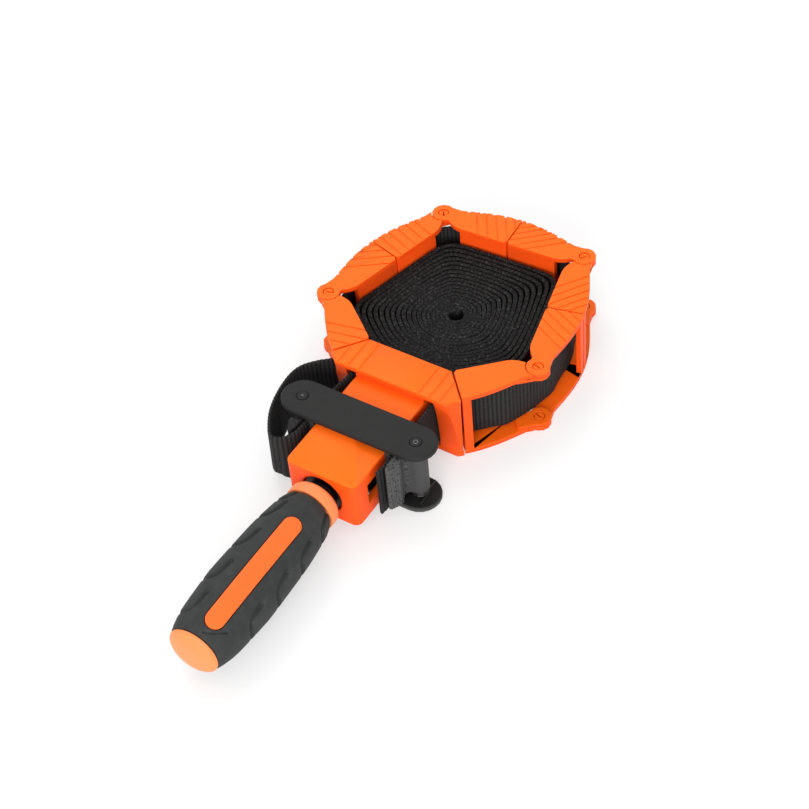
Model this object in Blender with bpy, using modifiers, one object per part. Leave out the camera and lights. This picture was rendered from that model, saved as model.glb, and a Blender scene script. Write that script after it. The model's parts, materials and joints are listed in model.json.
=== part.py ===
"""Band clamp for picture frames, in Blender 4.5.

A screw-drawn head carries a ring of hinged corner leaves. A webbing belt runs round the ring and
through two cam levers on a sliding yoke, and its spare length lies coiled inside the ring.

Lengths are in millimetres until MM turns them into metres. +X is to the right of someone who holds
the handle, +Y goes from the handle to the ring, +Z is up, and the origin is under the head.
"""

import math

import bmesh
import bpy
from mathutils import Vector
from mathutils.kdtree import KDTree

MM = 0.001

# Fits
GAP = 0.3
WELD = 0.002
ROUND_STEPS = 32
SMALL_STEPS = 16

# Belt, which sets the height of the head and the ring
BELT_WIDTH = 25.0
BELT_THICK = 1.4
BELT_ROOM = 1.8
FLANGE = 2.2
EASE = 0.4
HEIGHT = BELT_WIDTH + 2 * (BELT_ROOM + FLANGE)
MID_Z = HEIGHT / 2
BELT_LOW = MID_Z - BELT_WIDTH / 2

# Head: the jaw that faces the ring, its two seams and its two rear posts
JAW_HALF = 19.5
JAW_FRONT = 8.5
JAW_PLATE_HALF = 16.5
JAW_PLATE = 2.5
SEAM_LENGTH = 17.0
HEAD_REAR = -9.0
HEAD_REAR_LOW = -5.8
POST_INNER = 20.8
POST_FRONT = -2.8
POST_OUTER_LEFT = 26.8
POST_HOLLOW_RADIUS = 120.0
HEAD_GROOVES = (14.2, 19.3, 24.0)

# Screw housing behind the jaw
BOX_HALF = 16.3
BOX_REAR = -60.0
BOX_LOW = 5.0
BOX_HIGH = HEIGHT - BOX_LOW
BOX_WALL = 3.0
BOX_REAR_WALL = 6.0
BOX_CORNER = 3.0
BOX_EASE = 0.4
NECK_REAR = -8.2
SLOT_FRONT = -15.5
SLOT_REAR = -51.5
SLOT_HALF = 5.3

# Corner leaves, measured from the hinge (u) along the leaf and (v) towards the ring's middle
LEAF_LENGTH = 33.4
LEAF_SEAM = 0.6
LEAF_INNER = 6.5
LEAF_OUTER = -9.5
LEAF_NECK_OUTER = -4.3
LEAF_NECK = 6.9
LEAF_CHAMFER = 1.2
LEAF_WALL = 2.5
LEAF_WALL_START = 11.0
LEAF_BRIDGE = 3.6
LEAF_BRIDGE_THICK = 2.0
LEAF_SET_BACK = 0.3
EAR_RADIUS = 5.0
EAR_THICK = 1.2
SCALLOP_FIRST = 10.0
SCALLOP_PITCH = 5.3
SCALLOP_DEPTH = 0.8
SCALLOP_HALF = 0.9
GROOVE_WIDTH = 0.6
GROOVE_DEPTH = 0.4
HEAD_LEAF_RIGHT = math.radians(43.0)
HEAD_LEAF_LEFT = math.radians(38.0)
LEFT_SIDE = math.radians(75.0)

# Hinge pins: a split snap post in each knuckle, one below and one above the belt
PIN_RADIUS = 2.1
PIN_SLIT = 0.6
PIN_HOLE = PIN_RADIUS + GAP
PIN_RECESS = 0.4
PIN_LENGTH = FLANGE + GAP + EAR_THICK - PIN_RECESS

# Yoke on the screw, with two plates and two cam levers
YOKE_Y = -31.0
PLATE_THICK = 2.5
PLATE_LOW = 0.3
PLATE_REACH = 26.6
PLATE_RADIUS = 8.9
BLOCK_HALF = 10.0
BLOCK_HEIGHT = MID_Z - BOX_LOW - BOX_WALL - 0.5
BLOCK_DEPTH = 6.0
ARM_HALF = SLOT_HALF - 0.5
ANVIL_INNER = BOX_HALF + 0.5
ANVIL_THICK = 2.4
ANVIL_DEPTH = 8.0
LEVER_PIN = 2.0
LEVER_CAM = 5.5
LEVER_HUB = 4.2
LEVER_TAIL = 16.2
LEVER_TEETH = 5
SPRING_ROOM = 3.5
LEVER_LOW = PLATE_LOW + PLATE_THICK + GAP + SPRING_ROOM
SPRING_WIRE = 0.35
SPRING_RADIUS = 3.6
SPRING_TURNS = 3

# Screw and handle, measured backwards from the head's middle along the screw
SCREW_RADIUS = 4.0
SCREW_FRONT = 4.0
SCREW_REAR = 95.0
NUT_RADIUS = 5.0
BUSH_RADIUS = 6.0
BUSH_FLANGE = 8.0
RECESS_RADIUS = 9.3
RECESS_DEPTH = 3.0
HUB_RADIUS = 6.2
HUB_FRONT = -BOX_REAR - RECESS_DEPTH + 2.3
COLLAR_FRONT = -BOX_REAR + 3.3
COLLAR_REAR = COLLAR_FRONT + 6.0
COLLAR_RADIUS = 10.9
TANG_RADIUS = 7.0
GRIP_FRONT = COLLAR_REAR + GAP
GRIP_LENGTH = 76.0
GRIP_REAR = GRIP_FRONT + GRIP_LENGTH
INLAY_FRONT = GRIP_FRONT + 13.2
INLAY_LENGTH = GRIP_LENGTH - 18.0
INLAY_WIDTH = 9.0
INLAY_PROUD = 0.25
HANDLE_REST_TURN = math.radians(24.0)
TREAD_PITCH = GRIP_LENGTH * 0.224
TREADS_LEFT = (0.19, 0.42, 0.64, 0.86)
TREADS_RIGHT = (0.09, 0.31, 0.53, 0.75)
TREAD_DEPTH = 1.0
CAP_HEIGHT = 3.6

# Coil of spare belt inside the ring
COIL_LOW = 0.3
COIL_PITCH = 1.72
COIL_GAP = 0.8
COIL_HEART = 3.0
COIL_POINTS = 26
COIL_MIDDLE = (0.2, 43.0)
COIL_ROUNDING = 13.0
COIL_DROP_LENGTH = 45.0

ORANGE = (0.92, 0.16, 0.018)
ORANGE_PALE = (0.95, 0.22, 0.04)
BLACK = (0.018, 0.018, 0.019)
DARK = (0.045, 0.045, 0.047)
GREY = (0.09, 0.09, 0.092)
STEEL = (0.55, 0.55, 0.56)


# Scene and materials


def clear_scene():
    for obj in list(bpy.data.objects):
        bpy.data.objects.remove(obj, do_unlink=True)


def collection(name):
    made = bpy.data.collections.new(name)
    bpy.context.scene.collection.children.link(made)
    return made


def material(name, colour, roughness, metallic=0.0):
    made = bpy.data.materials.new(name)
    made.use_nodes = True
    shader = made.node_tree.nodes["Principled BSDF"]
    shader.inputs["Base Color"].default_value = (*colour, 1.0)
    shader.inputs["Roughness"].default_value = roughness
    shader.inputs["Metallic"].default_value = metallic
    made.diffuse_color = (*colour, 1.0)
    return made


def empty(name, place, turn=(0.0, 0.0, 0.0), parent=None):
    made = bpy.data.objects.new(name, None)
    made.empty_display_size = 0.01
    made.location = [value * MM for value in place]
    made.rotation_euler = turn
    made.parent = parent
    parts.objects.link(made)
    return made


def keep(obj, colour, roughness, metallic=0.0, parent=None):
    """Puts a finished piece in the part's collection with a material of its own."""
    obj.data.materials.clear()
    obj.data.materials.append(material(obj.name, colour, roughness, metallic))
    if parent is not None:
        obj.parent = parent
    parts.objects.link(obj)
    return obj


# Solids


def object_of(name, work):
    bmesh.ops.recalc_face_normals(work, faces=work.faces)
    mesh = bpy.data.meshes.new(name)
    work.to_mesh(mesh)
    work.free()
    return bpy.data.objects.new(name, mesh)


def mesh_of_curve(name, curve):
    """The curve as one welded closed mesh object."""
    source = bpy.data.objects.new(name + "_curve", curve)
    bpy.context.scene.collection.objects.link(source)
    bpy.context.view_layer.update()
    graph = bpy.context.evaluated_depsgraph_get()
    mesh = bpy.data.meshes.new_from_object(source.evaluated_get(graph))
    bpy.data.objects.remove(source, do_unlink=True)
    work = bmesh.new()
    work.from_mesh(mesh)
    bmesh.ops.remove_doubles(work, verts=work.verts, dist=WELD * MM)
    bpy.data.meshes.remove(mesh)
    return object_of(name, work)


def plate(name, outline, low, high, ease=0.0, holes=()):
    """A flat piece cut from its outline, from low to high, with its edges eased."""
    curve = bpy.data.curves.new(name, "CURVE")
    curve.dimensions = "2D"
    curve.fill_mode = "BOTH"
    for points in (outline, *holes):
        spline = curve.splines.new("POLY")
        spline.points.add(len(points) - 1)
        spline.use_cyclic_u = True
        for point, (x, y) in zip(spline.points, points):
            point.co = (x * MM, y * MM, 0.0, 1.0)
    curve.extrude = ((high - low) / 2 - ease) * MM
    curve.bevel_depth = ease * MM
    curve.bevel_resolution = 0
    curve.offset = -ease * MM
    made = mesh_of_curve(name, curve)
    for vertex in made.data.vertices:
        vertex.co.z += (low + high) / 2 * MM
    return made


def block(name, low, high):
    work = bmesh.new()
    bmesh.ops.create_cube(work, size=1.0)
    for vertex in work.verts:
        vertex.co = [
            ((a + b) / 2 + (b - a) * share) * MM for a, b, share in zip(low, high, vertex.co)
        ]
    return object_of(name, work)


def turned(name, profile, steps=ROUND_STEPS, ring=False):
    """A profile of (radius, height) turned about Z. It runs from top to bottom on its outer side."""
    count = len(profile)
    mesh = bpy.data.meshes.new(name)
    points = [(radius * MM, 0.0, height * MM) for radius, height in profile]
    edges = [(index, index + 1) for index in range(count - 1)]
    if ring:
        edges.append((count - 1, 0))
    mesh.from_pydata(points, edges, [])
    made = bpy.data.objects.new(name, mesh)
    screw = made.modifiers.new("turn", "SCREW")
    screw.steps = steps
    screw.render_steps = steps
    screw.use_merge_vertices = True
    screw.merge_threshold = 0.00001
    screw.use_smooth_shade = True
    return made


def rod(name, radius, low, high, ease=0.0, steps=SMALL_STEPS):
    profile = [(0.0, high), (radius, high), (radius, low), (0.0, low)]
    if ease:
        profile[1:3] = [
            (radius - ease, high),
            (radius, high - ease),
            (radius, low + ease),
            (radius - ease, low),
        ]
    return turned(name, profile, steps)


def tube(name, outer, inner, low, high, steps=ROUND_STEPS):
    return turned(name, [(outer, high), (outer, low), (inner, low), (inner, high)], steps, ring=True)


def wire(name, points, radius):
    curve = bpy.data.curves.new(name, "CURVE")
    curve.dimensions = "3D"
    curve.bevel_depth = radius * MM
    curve.bevel_resolution = 2
    curve.use_fill_caps = True
    spline = curve.splines.new("POLY")
    spline.points.add(len(points) - 1)
    for point, place in zip(spline.points, points):
        point.co = (*[value * MM for value in place], 1.0)
    return mesh_of_curve(name, curve)


def joined(name, pieces):
    """Separate closed pieces as one mesh, for a Boolean that takes them all at once."""
    work = bmesh.new()
    for piece in pieces:
        start = len(work.verts)
        work.from_mesh(piece.data)
        work.verts.ensure_lookup_table()
        bmesh.ops.transform(work, matrix=piece.matrix_basis, verts=work.verts[start:])
        bpy.data.objects.remove(piece, do_unlink=True)
    return object_of(name, work)


def boolean(target, tool, operation):
    """The tool keeps its own modifiers and follows the target, so both use one set of coordinates."""
    modifier = target.modifiers.new(tool.name, "BOOLEAN")
    modifier.operation = operation
    modifier.solver = "EXACT"
    modifier.object = tool
    tool.parent = target
    tool.hide_render = True
    tool.display_type = "WIRE"
    cutters.objects.link(tool)


def cut(target, tool):
    boolean(target, tool, "DIFFERENCE")


def fuse(target, tool):
    boolean(target, tool, "UNION")


# Outlines


def arc(radius, start, end, count, middle=(0.0, 0.0)):
    """Points on an arc, with its angles in degrees."""
    angles = [math.radians(start + (end - start) * i / (count - 1)) for i in range(count)]
    return [
        (middle[0] + radius * math.cos(angle), middle[1] + radius * math.sin(angle))
        for angle in angles
    ]


def stadium(reach, radius, count=11):
    """A bar with round ends, along X."""
    right = arc(radius, -90, 90, count, (reach, 0.0))
    left = arc(radius, 90, 270, count, (-reach, 0.0))
    return right + left


def both_ends(low, high):
    """The same height range at the bottom and, mirrored, at the top."""
    return (("low", low, high), ("high", HEIGHT - high, HEIGHT - low))


def smooth(points, count):
    """A Catmull-Rom curve through the points, with count steps between each two."""
    places = [Vector(point) for point in points]
    ends = [2 * places[0] - places[1], *places, 2 * places[-1] - places[-2]]
    made = []
    for a, b, c, d in zip(ends, ends[1:], ends[2:], ends[3:]):
        for step in range(count):
            t = step / count
            made.append(
                0.5 * (2 * b + (c - a) * t + (2 * a - 5 * b + 4 * c - d) * t**2)
                + 0.5 * (3 * b - a - 3 * c + d) * t**3
            )
    made.append(places[-1])
    return [tuple(place) for place in made]


def ribbon(path, thick):
    """The outline of a strip of this thickness along the path."""
    places = [Vector(point) for point in path]
    left, right = [], []
    for index, place in enumerate(places):
        before = places[max(index - 1, 0)]
        after = places[min(index + 1, len(places) - 1)]
        along = (after - before).normalized()
        side = Vector((-along.y, along.x)) * thick / 2
        left.append(tuple(place + side))
        right.append(tuple(place - side))
    return left + right[::-1]


def belt(name, path, low=BELT_LOW):
    return plate(name, ribbon(path, BELT_THICK), low, low + BELT_WIDTH)


# Places round the ring


def direction(angle):
    return Vector((math.cos(angle), math.sin(angle)))


def seam_outer(side):
    """Where the seam meets the outer edge. It is square to the leaf on that side of X."""
    angle = HEAD_LEAF_RIGHT if side > 0 else HEAD_LEAF_LEFT
    return Vector(
        (
            side * (JAW_HALF + SEAM_LENGTH * math.sin(angle)),
            JAW_FRONT - SEAM_LENGTH * math.cos(angle),
        )
    )


def near_hinge(side, angle):
    """The hinge of a head leaf, whose inner end corner comes nearest to the head's seam."""
    along = Vector((side * math.cos(angle), math.sin(angle)))
    inward = Vector((-side * along.y, side * along.x))
    corner = Vector((side * JAW_HALF, JAW_FRONT)) + along * LEAF_SEAM
    return corner + along * LEAF_LENGTH - inward * LEAF_INNER


def far_right_hinge(far_left, near_right):
    """The corner that is one full side away from both of its neighbours."""
    side = 2 * LEAF_LENGTH + LEAF_SEAM
    between = near_right - far_left
    half = between.length / 2
    out = Vector((-between.y, between.x)).normalized()
    return far_left + between / 2 + out * math.sqrt(side**2 - half**2)


NEAR_LEFT = near_hinge(-1, HEAD_LEAF_LEFT)
NEAR_RIGHT = near_hinge(1, HEAD_LEAF_RIGHT)
FAR_LEFT = NEAR_LEFT + direction(LEFT_SIDE) * (2 * LEAF_LENGTH + LEAF_SEAM)
FAR_RIGHT = far_right_hinge(FAR_LEFT, NEAR_RIGHT)
HINGES = {
    "near_left": NEAR_LEFT,
    "far_left": FAR_LEFT,
    "far_right": FAR_RIGHT,
    "near_right": NEAR_RIGHT,
}


class Leaf:
    """Where a leaf lies: its hinge, the way it points, and which hand its inner side is on."""

    def __init__(self, name, hinge, angle, hand):
        self.name = name
        self.hinge = hinge
        self.angle = angle
        self.hand = hand

    def place(self, along, inward):
        """The plan place of a point that is this far along the leaf and inward."""
        way = direction(self.angle)
        inner = Vector((-way.y, way.x)) * self.hand
        return self.hinge + way * along + inner * inward

    def flip(self, outline):
        return [(along, inward * self.hand) for along, inward in outline]


def towards(start, end):
    return math.atan2(end.y - start.y, end.x - start.x)


LEAVES = {
    leaf.name: leaf
    for leaf in (
        Leaf("leaf_head_left", NEAR_LEFT, -HEAD_LEAF_LEFT, 1),
        Leaf("leaf_left_near", NEAR_LEFT, towards(NEAR_LEFT, FAR_LEFT), -1),
        Leaf("leaf_left_far", FAR_LEFT, towards(FAR_LEFT, NEAR_LEFT), 1),
        Leaf("leaf_far_left", FAR_LEFT, towards(FAR_LEFT, FAR_RIGHT), -1),
        Leaf("leaf_far_right", FAR_RIGHT, towards(FAR_RIGHT, FAR_LEFT), 1),
        Leaf("leaf_right_far", FAR_RIGHT, towards(FAR_RIGHT, NEAR_RIGHT), -1),
        Leaf("leaf_right_near", NEAR_RIGHT, towards(NEAR_RIGHT, FAR_RIGHT), 1),
        Leaf("leaf_head_right", NEAR_RIGHT, math.pi + HEAD_LEAF_RIGHT, -1),
    )
}
SWINGING = ("leaf_left_near", "leaf_far_left", "leaf_far_right", "leaf_right_near")
SCALLOPED = ("leaf_left_near", "leaf_left_far", "leaf_far_left", "leaf_far_right")

# Each leaf's grooves: the first one's place along it, their pitch and their angle
LEAF_GROOVES = {
    "leaf_head_left": (17.0, 5.2, 50.0),
    "leaf_left_near": (14.0, 5.3, 40.0),
    "leaf_left_far": (12.5, 4.2, 84.0),
    "leaf_far_left": (13.0, 4.2, 60.0),
    "leaf_far_right": (10.0, 4.2, 38.0),
    "leaf_right_far": (11.0, 4.2, 48.0),
    "leaf_right_near": (12.0, 4.2, 52.0),
}


# Corner leaves


def outer_edge(along):
    """The outer edge widens from the hinge to the seam on a quarter wave."""
    share = (along - LEAF_NECK) / (LEAF_LENGTH - LEAF_NECK)
    return LEAF_NECK_OUTER + (LEAF_OUTER - LEAF_NECK_OUTER) * math.sin(math.pi / 2 * max(share, 0))


def places_along(first, pitch, last):
    """Evenly spaced places from the first one up to the last one that fits."""
    count = max(int((last - first) / pitch) + 1, 0)
    return [first + pitch * index for index in range(count)]


def leaf_edge(leaf):
    """The outer edge from the hinge to the seam, plain or with scallops between small notches."""
    if leaf.name in SCALLOPED:
        points = [(LEAF_NECK, LEAF_NECK_OUTER)]
        last = LEAF_LENGTH - 2 * SCALLOP_HALF
        for middle in places_along(SCALLOP_FIRST, SCALLOP_PITCH, last):
            start = middle - SCALLOP_HALF
            stop = middle + SCALLOP_HALF
            points.append((start, outer_edge(start)))
            points.append((middle, outer_edge(middle) + SCALLOP_DEPTH))
            points.append((stop, outer_edge(stop)))
        points.append((LEAF_LENGTH, LEAF_OUTER))
        return points
    steps = 8
    reach = LEAF_LENGTH - LEAF_NECK
    return [
        (LEAF_NECK + reach * i / steps, outer_edge(LEAF_NECK + reach * i / steps))
        for i in range(steps + 1)
    ]


def inner_edge():
    """The inner edge from the seam back to the neck at the hinge."""
    return [
        (LEAF_LENGTH, LEAF_INNER - LEAF_CHAMFER),
        (LEAF_LENGTH - LEAF_CHAMFER, LEAF_INNER),
        (LEAF_WALL_START + 0.5, LEAF_INNER),
        (9.0, 6.1),
        (6.5, 5.0),
        (4.4, 3.6),
    ]


def lug_outline(leaf):
    """A flange whose round ear closes round the hinge pin."""
    return leaf_edge(leaf) + inner_edge() + arc(EAR_RADIUS, 48, 300, 10)


def tongue_outline(leaf):
    """A flange cut back round the lug's ear."""
    return leaf_edge(leaf) + inner_edge() + arc(EAR_RADIUS + GAP + 0.05, 38, -53, 5)


def leaf_grooves(leaf):
    """Shallow slanting grooves across both outer faces, each leaf at its own slant."""
    first, pitch, slant = LEAF_GROOVES[leaf.name]
    way = math.radians(slant)
    reach = 1.5 * (LEAF_INNER - LEAF_OUTER + 2)
    bars = []
    for start in places_along(first, pitch, LEAF_LENGTH - 1.5):
        for _, low, high in both_ends(-1.0, GROOVE_DEPTH):
            bar = block(
                f"{leaf.name}_groove",
                (-2.0, -GROOVE_WIDTH / 2, low),
                (reach, GROOVE_WIDTH / 2, high),
            )
            place = (start, outer_edge(start) * leaf.hand, 0.0)
            bar.location = [value * MM for value in place]
            bar.rotation_euler = (0.0, 0.0, leaf.hand * way)
            bars.append(bar)
    return joined(f"{leaf.name}_grooves", bars)


def leaf_body(leaf, outline):
    """Two flanges, the wall that presses on the work and the bridge at the seam."""
    name = leaf.name
    low = plate(name, leaf.flip(outline), 0.0, FLANGE)
    fuse(low, plate(f"{name}_top", leaf.flip(outline), HEIGHT - FLANGE, HEIGHT))
    end = LEAF_LENGTH - 0.2
    inner = LEAF_INNER - LEAF_SET_BACK
    wall = [(LEAF_WALL_START, inner - LEAF_WALL), (end, inner - LEAF_WALL)]
    wall += [(end, inner), (LEAF_WALL_START, inner)]
    outer = LEAF_OUTER + LEAF_SET_BACK
    bridge = [(end - LEAF_BRIDGE, outer), (end, outer)]
    bridge += [(end, outer + LEAF_BRIDGE_THICK), (end - LEAF_BRIDGE, outer + LEAF_BRIDGE_THICK)]
    middle = (0.6, HEIGHT - 0.6)
    fuse(low, plate(f"{name}_wall", leaf.flip(wall), *middle))
    fuse(low, plate(f"{name}_bridge", leaf.flip(bridge), *middle))
    return low


def finish_leaf(leaf, body):
    cut(body, rod(f"{leaf.name}_pin_hole", PIN_HOLE, -1.0, HEIGHT + 1.0, steps=12))
    if leaf.name in LEAF_GROOVES:
        cut(body, leaf_grooves(leaf))
    body.location = (leaf.hinge.x * MM, leaf.hinge.y * MM, 0.0)
    body.rotation_euler = (0.0, 0.0, leaf.angle)
    return keep(body, ORANGE, 0.42)


def lug_leaf(leaf):
    return finish_leaf(leaf, leaf_body(leaf, lug_outline(leaf)))


def tongue_leaf(leaf):
    """Its thin ears lie inside the lug's, so that the two leaves share one post."""
    body = leaf_body(leaf, tongue_outline(leaf))
    low = FLANGE + GAP
    high = low + EAR_THICK
    web_start = EAR_RADIUS + 0.95
    neck = [(10.0, LEAF_NECK_OUTER), (10.0, 5.8), (6.5, 4.8), (4.4, 3.4)]
    ear = arc(EAR_RADIUS, 48, 300, 9) + [(LEAF_NECK, LEAF_NECK_OUTER)] + neck
    web = [(web_start, LEAF_NECK_OUTER), (9.6, LEAF_NECK_OUTER), (9.6, 5.4), (web_start, 4.3)]
    for end, start, stop in both_ends(low, high):
        fuse(body, plate(f"{leaf.name}_ear_{end}", leaf.flip(ear), start, stop))
    for end, start, stop in both_ends(0.7, high - 0.25):
        fuse(body, plate(f"{leaf.name}_web_{end}", leaf.flip(web), start, stop))
    return finish_leaf(leaf, body)


def hinge_pin(name, hinge, low):
    """A split snap post. Its slit runs in from the side of the ring's middle, past its own centre."""
    way = towards(hinge, Vector(COIL_MIDDLE))
    open_half = math.degrees(math.asin(PIN_SLIT / 2 / PIN_RADIUS))
    outline = arc(PIN_RADIUS, open_half, 360 - open_half, 17)
    outline += [(-PIN_RADIUS * 0.55, -PIN_SLIT / 2), (-PIN_RADIUS * 0.55, PIN_SLIT / 2)]
    pin = plate(name, outline, low, low + PIN_LENGTH)
    pin.location = (hinge.x * MM, hinge.y * MM, 0.0)
    pin.rotation_euler = (0.0, 0.0, way)
    return keep(pin, ORANGE, 0.42)


def corner_ring():
    for leaf in LEAVES.values():
        if leaf.name in SWINGING:
            lug_leaf(leaf)
        else:
            tongue_leaf(leaf)
    for corner, hinge in HINGES.items():
        hinge_pin(f"hinge_pin_{corner}", hinge, HEIGHT - PIN_RECESS - PIN_LENGTH)
        hinge_pin(f"hinge_pin_{corner}_low", hinge, PIN_RECESS)


# Head


def on_seam(side, y):
    """The seam's X at this Y."""
    outer = seam_outer(side)
    share = (JAW_FRONT - y) / (JAW_FRONT - outer.y)
    return side * JAW_HALF + (outer.x - side * JAW_HALF) * share


def flange_outline(rear):
    """The jaw's flange, with both seams running back to its rear edge."""
    halves = []
    for side in (1, -1):
        outer = seam_outer(side)
        back = outer.x - side * (outer.y - rear) * 1.12
        halves.append([(side * JAW_HALF, JAW_FRONT), tuple(outer), (back, rear)])
    return halves[0] + halves[1][::-1]


def post_outline(side):
    """The right post fills the corner to the seam. The left one leaves room for the belt."""
    rear = HEAD_REAR + 0.3
    if side > 0:
        outer = seam_outer(1)
        edge = [
            (on_seam(1, POST_FRONT) - 0.3, POST_FRONT),
            (outer.x - 0.35, outer.y - 0.1),
            (outer.x - 4.4, rear),
        ]
    else:
        edge = [
            (POST_OUTER_LEFT - 1.4, POST_FRONT),
            (POST_OUTER_LEFT, POST_FRONT - 1.5),
            (POST_OUTER_LEFT, HEAD_REAR + 1.8),
            (POST_OUTER_LEFT - 1.7, rear),
        ]
    outline = [(POST_INNER, rear), (POST_INNER, POST_FRONT), *edge]
    return [(side * x, y) for x, y in outline]


def rear_hollow():
    """The wide cylinder that leaves the posts' rear faces hollow and leaning back to the top."""
    low = Vector((HEAD_REAR_LOW + 0.2, BOX_LOW - 1.0))
    high = Vector((HEAD_REAR + 0.6, HEIGHT - 3.0))
    chord = high - low
    back = Vector((-chord.y, chord.x)).normalized()
    depth = math.sqrt(POST_HOLLOW_RADIUS**2 - (chord.length / 2) ** 2)
    middle = (low + high) / 2 + back * depth
    count = 14
    outline = arc(POST_HOLLOW_RADIUS, -6.0, 13.0, count, tuple(middle))
    outline += [(outline[-1][0] - 6, outline[-1][1]), (outline[0][0] - 6, outline[0][1])]
    hollow = plate("rear_hollow", outline, -40.0, 40.0)
    hollow.rotation_euler = (math.pi / 2, 0.0, math.pi / 2)
    return hollow


def box_outline():
    right = arc(BOX_CORNER, 0, -90, 5, (BOX_HALF - BOX_CORNER, BOX_REAR + BOX_CORNER))
    left = [(-x, y) for x, y in reversed(right)]
    return [(BOX_HALF, JAW_FRONT - 1.5), *right, *left, (-BOX_HALF, JAW_FRONT - 1.5)]


def on_screw_axis(tool):
    """Turns a piece that was made about Z so that its heights run backwards along the screw."""
    tool.location = (0.0, 0.0, MID_Z * MM)
    tool.rotation_euler = (math.pi / 2, 0.0, 0.0)
    return tool


def head_grooves():
    bars = []
    for x in HEAD_GROOVES:
        for side in (-1, 1):
            for _, low, high in both_ends(-1.0, 0.4):
                start = (side * x - 0.4, HEAD_REAR - 2, low)
                bars.append(block("head_groove", start, (side * x + 0.4, JAW_FRONT + 2, high)))
    return joined("head_grooves", bars)


def housing():
    """One moulding: jaw, flanges, posts and the box round the screw."""
    body = plate("housing", box_outline(), BOX_LOW, BOX_HIGH, BOX_EASE)
    neck = (BOX_HALF - 0.15, NECK_REAR)
    fuse(
        body,
        block("head_neck", (-neck[0], neck[1], 0.7), (neck[0], JAW_FRONT - 2.0, HEIGHT - 0.7)),
    )
    posts = []
    for side, hand in (("left", -1), ("right", 1)):
        posts.append(plate(f"post_{side}", post_outline(hand), 0.7, HEIGHT - 0.7))
    pair = joined("head_posts", posts)
    cut(pair, rear_hollow())
    fuse(body, pair)
    fuse(body, plate("head_flange_low", flange_outline(HEAD_REAR_LOW), 0.0, FLANGE, EASE))
    fuse(body, plate("head_flange_high", flange_outline(HEAD_REAR), HEIGHT - FLANGE, HEIGHT, EASE))
    fuse(
        body,
        block(
            "jaw_plate",
            (-JAW_PLATE_HALF, JAW_FRONT - JAW_PLATE, 0.5),
            (JAW_PLATE_HALF, JAW_FRONT - 0.1, HEIGHT - 0.5),
        ),
    )
    inner = BOX_HALF - BOX_WALL
    rear = BOX_REAR + BOX_REAR_WALL
    hollow = block("box_hollow", (-inner, rear, BOX_LOW - 3), (inner, -10.0, BOX_HIGH - BOX_WALL))
    cut(body, hollow)
    slot = block(
        "box_slots",
        (-BOX_HALF - 2, SLOT_REAR, MID_Z - SLOT_HALF),
        (BOX_HALF + 2, SLOT_FRONT, MID_Z + SLOT_HALF),
    )
    cut(body, slot)
    recess = -BOX_REAR - RECESS_DEPTH
    bore = BUSH_RADIUS + GAP
    profile = [
        (0.0, -BOX_REAR + 4),
        (RECESS_RADIUS, -BOX_REAR + 4),
        (RECESS_RADIUS, recess),
        (bore, recess),
        (bore, -rear - 2),
        (0.0, -rear - 2),
    ]
    cut(body, on_screw_axis(turned("screw_bore", profile)))
    pocket = rod("screw_pocket", SCREW_RADIUS + 0.6, SCREW_FRONT - 1.0, 12.0)
    cut(body, on_screw_axis(pocket))
    cut(body, head_grooves())
    return keep(body, ORANGE, 0.42)


# Yoke and cam levers, placed from the middle of the yoke


def yoke_frame():
    return empty("yoke_frame", (0.0, YOKE_Y, 0.0))


def yoke_plate(name, low, frame):
    holes = [
        arc(LEVER_PIN + GAP, 0, 337.5, 16, (side * PLATE_REACH, 0.0)) for side in (-1, 1)
    ]
    made = plate(name, stadium(PLATE_REACH, PLATE_RADIUS), low, low + PLATE_THICK, 0.5, holes)
    return keep(made, DARK, 0.5, parent=frame)


def anvil_outline(side):
    """The belt's backing face, ribbed along its outer side."""
    inner = ANVIL_INNER
    outer = ANVIL_INNER + ANVIL_THICK
    ribs = []
    count = 7
    for index in range(count):
        y = -ANVIL_DEPTH + 1.0 + index * (2 * ANVIL_DEPTH - 2.0) / (count - 1)
        ribs += [(outer - 0.35, y - 0.7), (outer, y)]
    points = [(inner, -ANVIL_DEPTH), *ribs, (outer - 0.35, ANVIL_DEPTH), (inner, ANVIL_DEPTH)]
    return [(side * x, y) for x, y in points]


def nut_block(frame):
    """A crossbar that slides in the box, with an anvil on each end."""
    low = MID_Z - BLOCK_HEIGHT
    high = MID_Z + BLOCK_HEIGHT
    half = BLOCK_HALF
    depth = BLOCK_DEPTH
    corner = 1.2
    outline = [
        (half, -depth + corner),
        (half, depth - corner),
        (half - corner, depth),
        (-half + corner, depth),
        (-half, depth - corner),
        (-half, -depth + corner),
        (-half + corner, -depth),
        (half - corner, -depth),
    ]
    made = plate("nut_block", outline, low, high, 0.5)
    reach = ANVIL_INNER + ANVIL_THICK / 2
    arm = (depth - 0.3, MID_Z - ARM_HALF, MID_Z + ARM_HALF)
    fuse(made, block("nut_arms", (-reach, -arm[0], arm[1]), (reach, arm[0], arm[2])))
    start = PLATE_LOW + PLATE_THICK + GAP
    anvils = []
    for side in (-1, 1):
        anvils.append(plate("anvil", anvil_outline(side), start, HEIGHT - start))
    fuse(made, joined("anvils", anvils))
    bore = rod("nut_bore", NUT_RADIUS + GAP, -20.0, 20.0, steps=ROUND_STEPS)
    cut(made, on_screw_axis(bore))
    return keep(made, GREY, 0.5, parent=frame)


def drive_nut(frame):
    nut = tube("drive_nut", NUT_RADIUS, SCREW_RADIUS + GAP, -BLOCK_DEPTH, BLOCK_DEPTH)
    on_screw_axis(nut)
    return keep(nut, (0.62, 0.45, 0.2), 0.35, 1.0, parent=frame)


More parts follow.
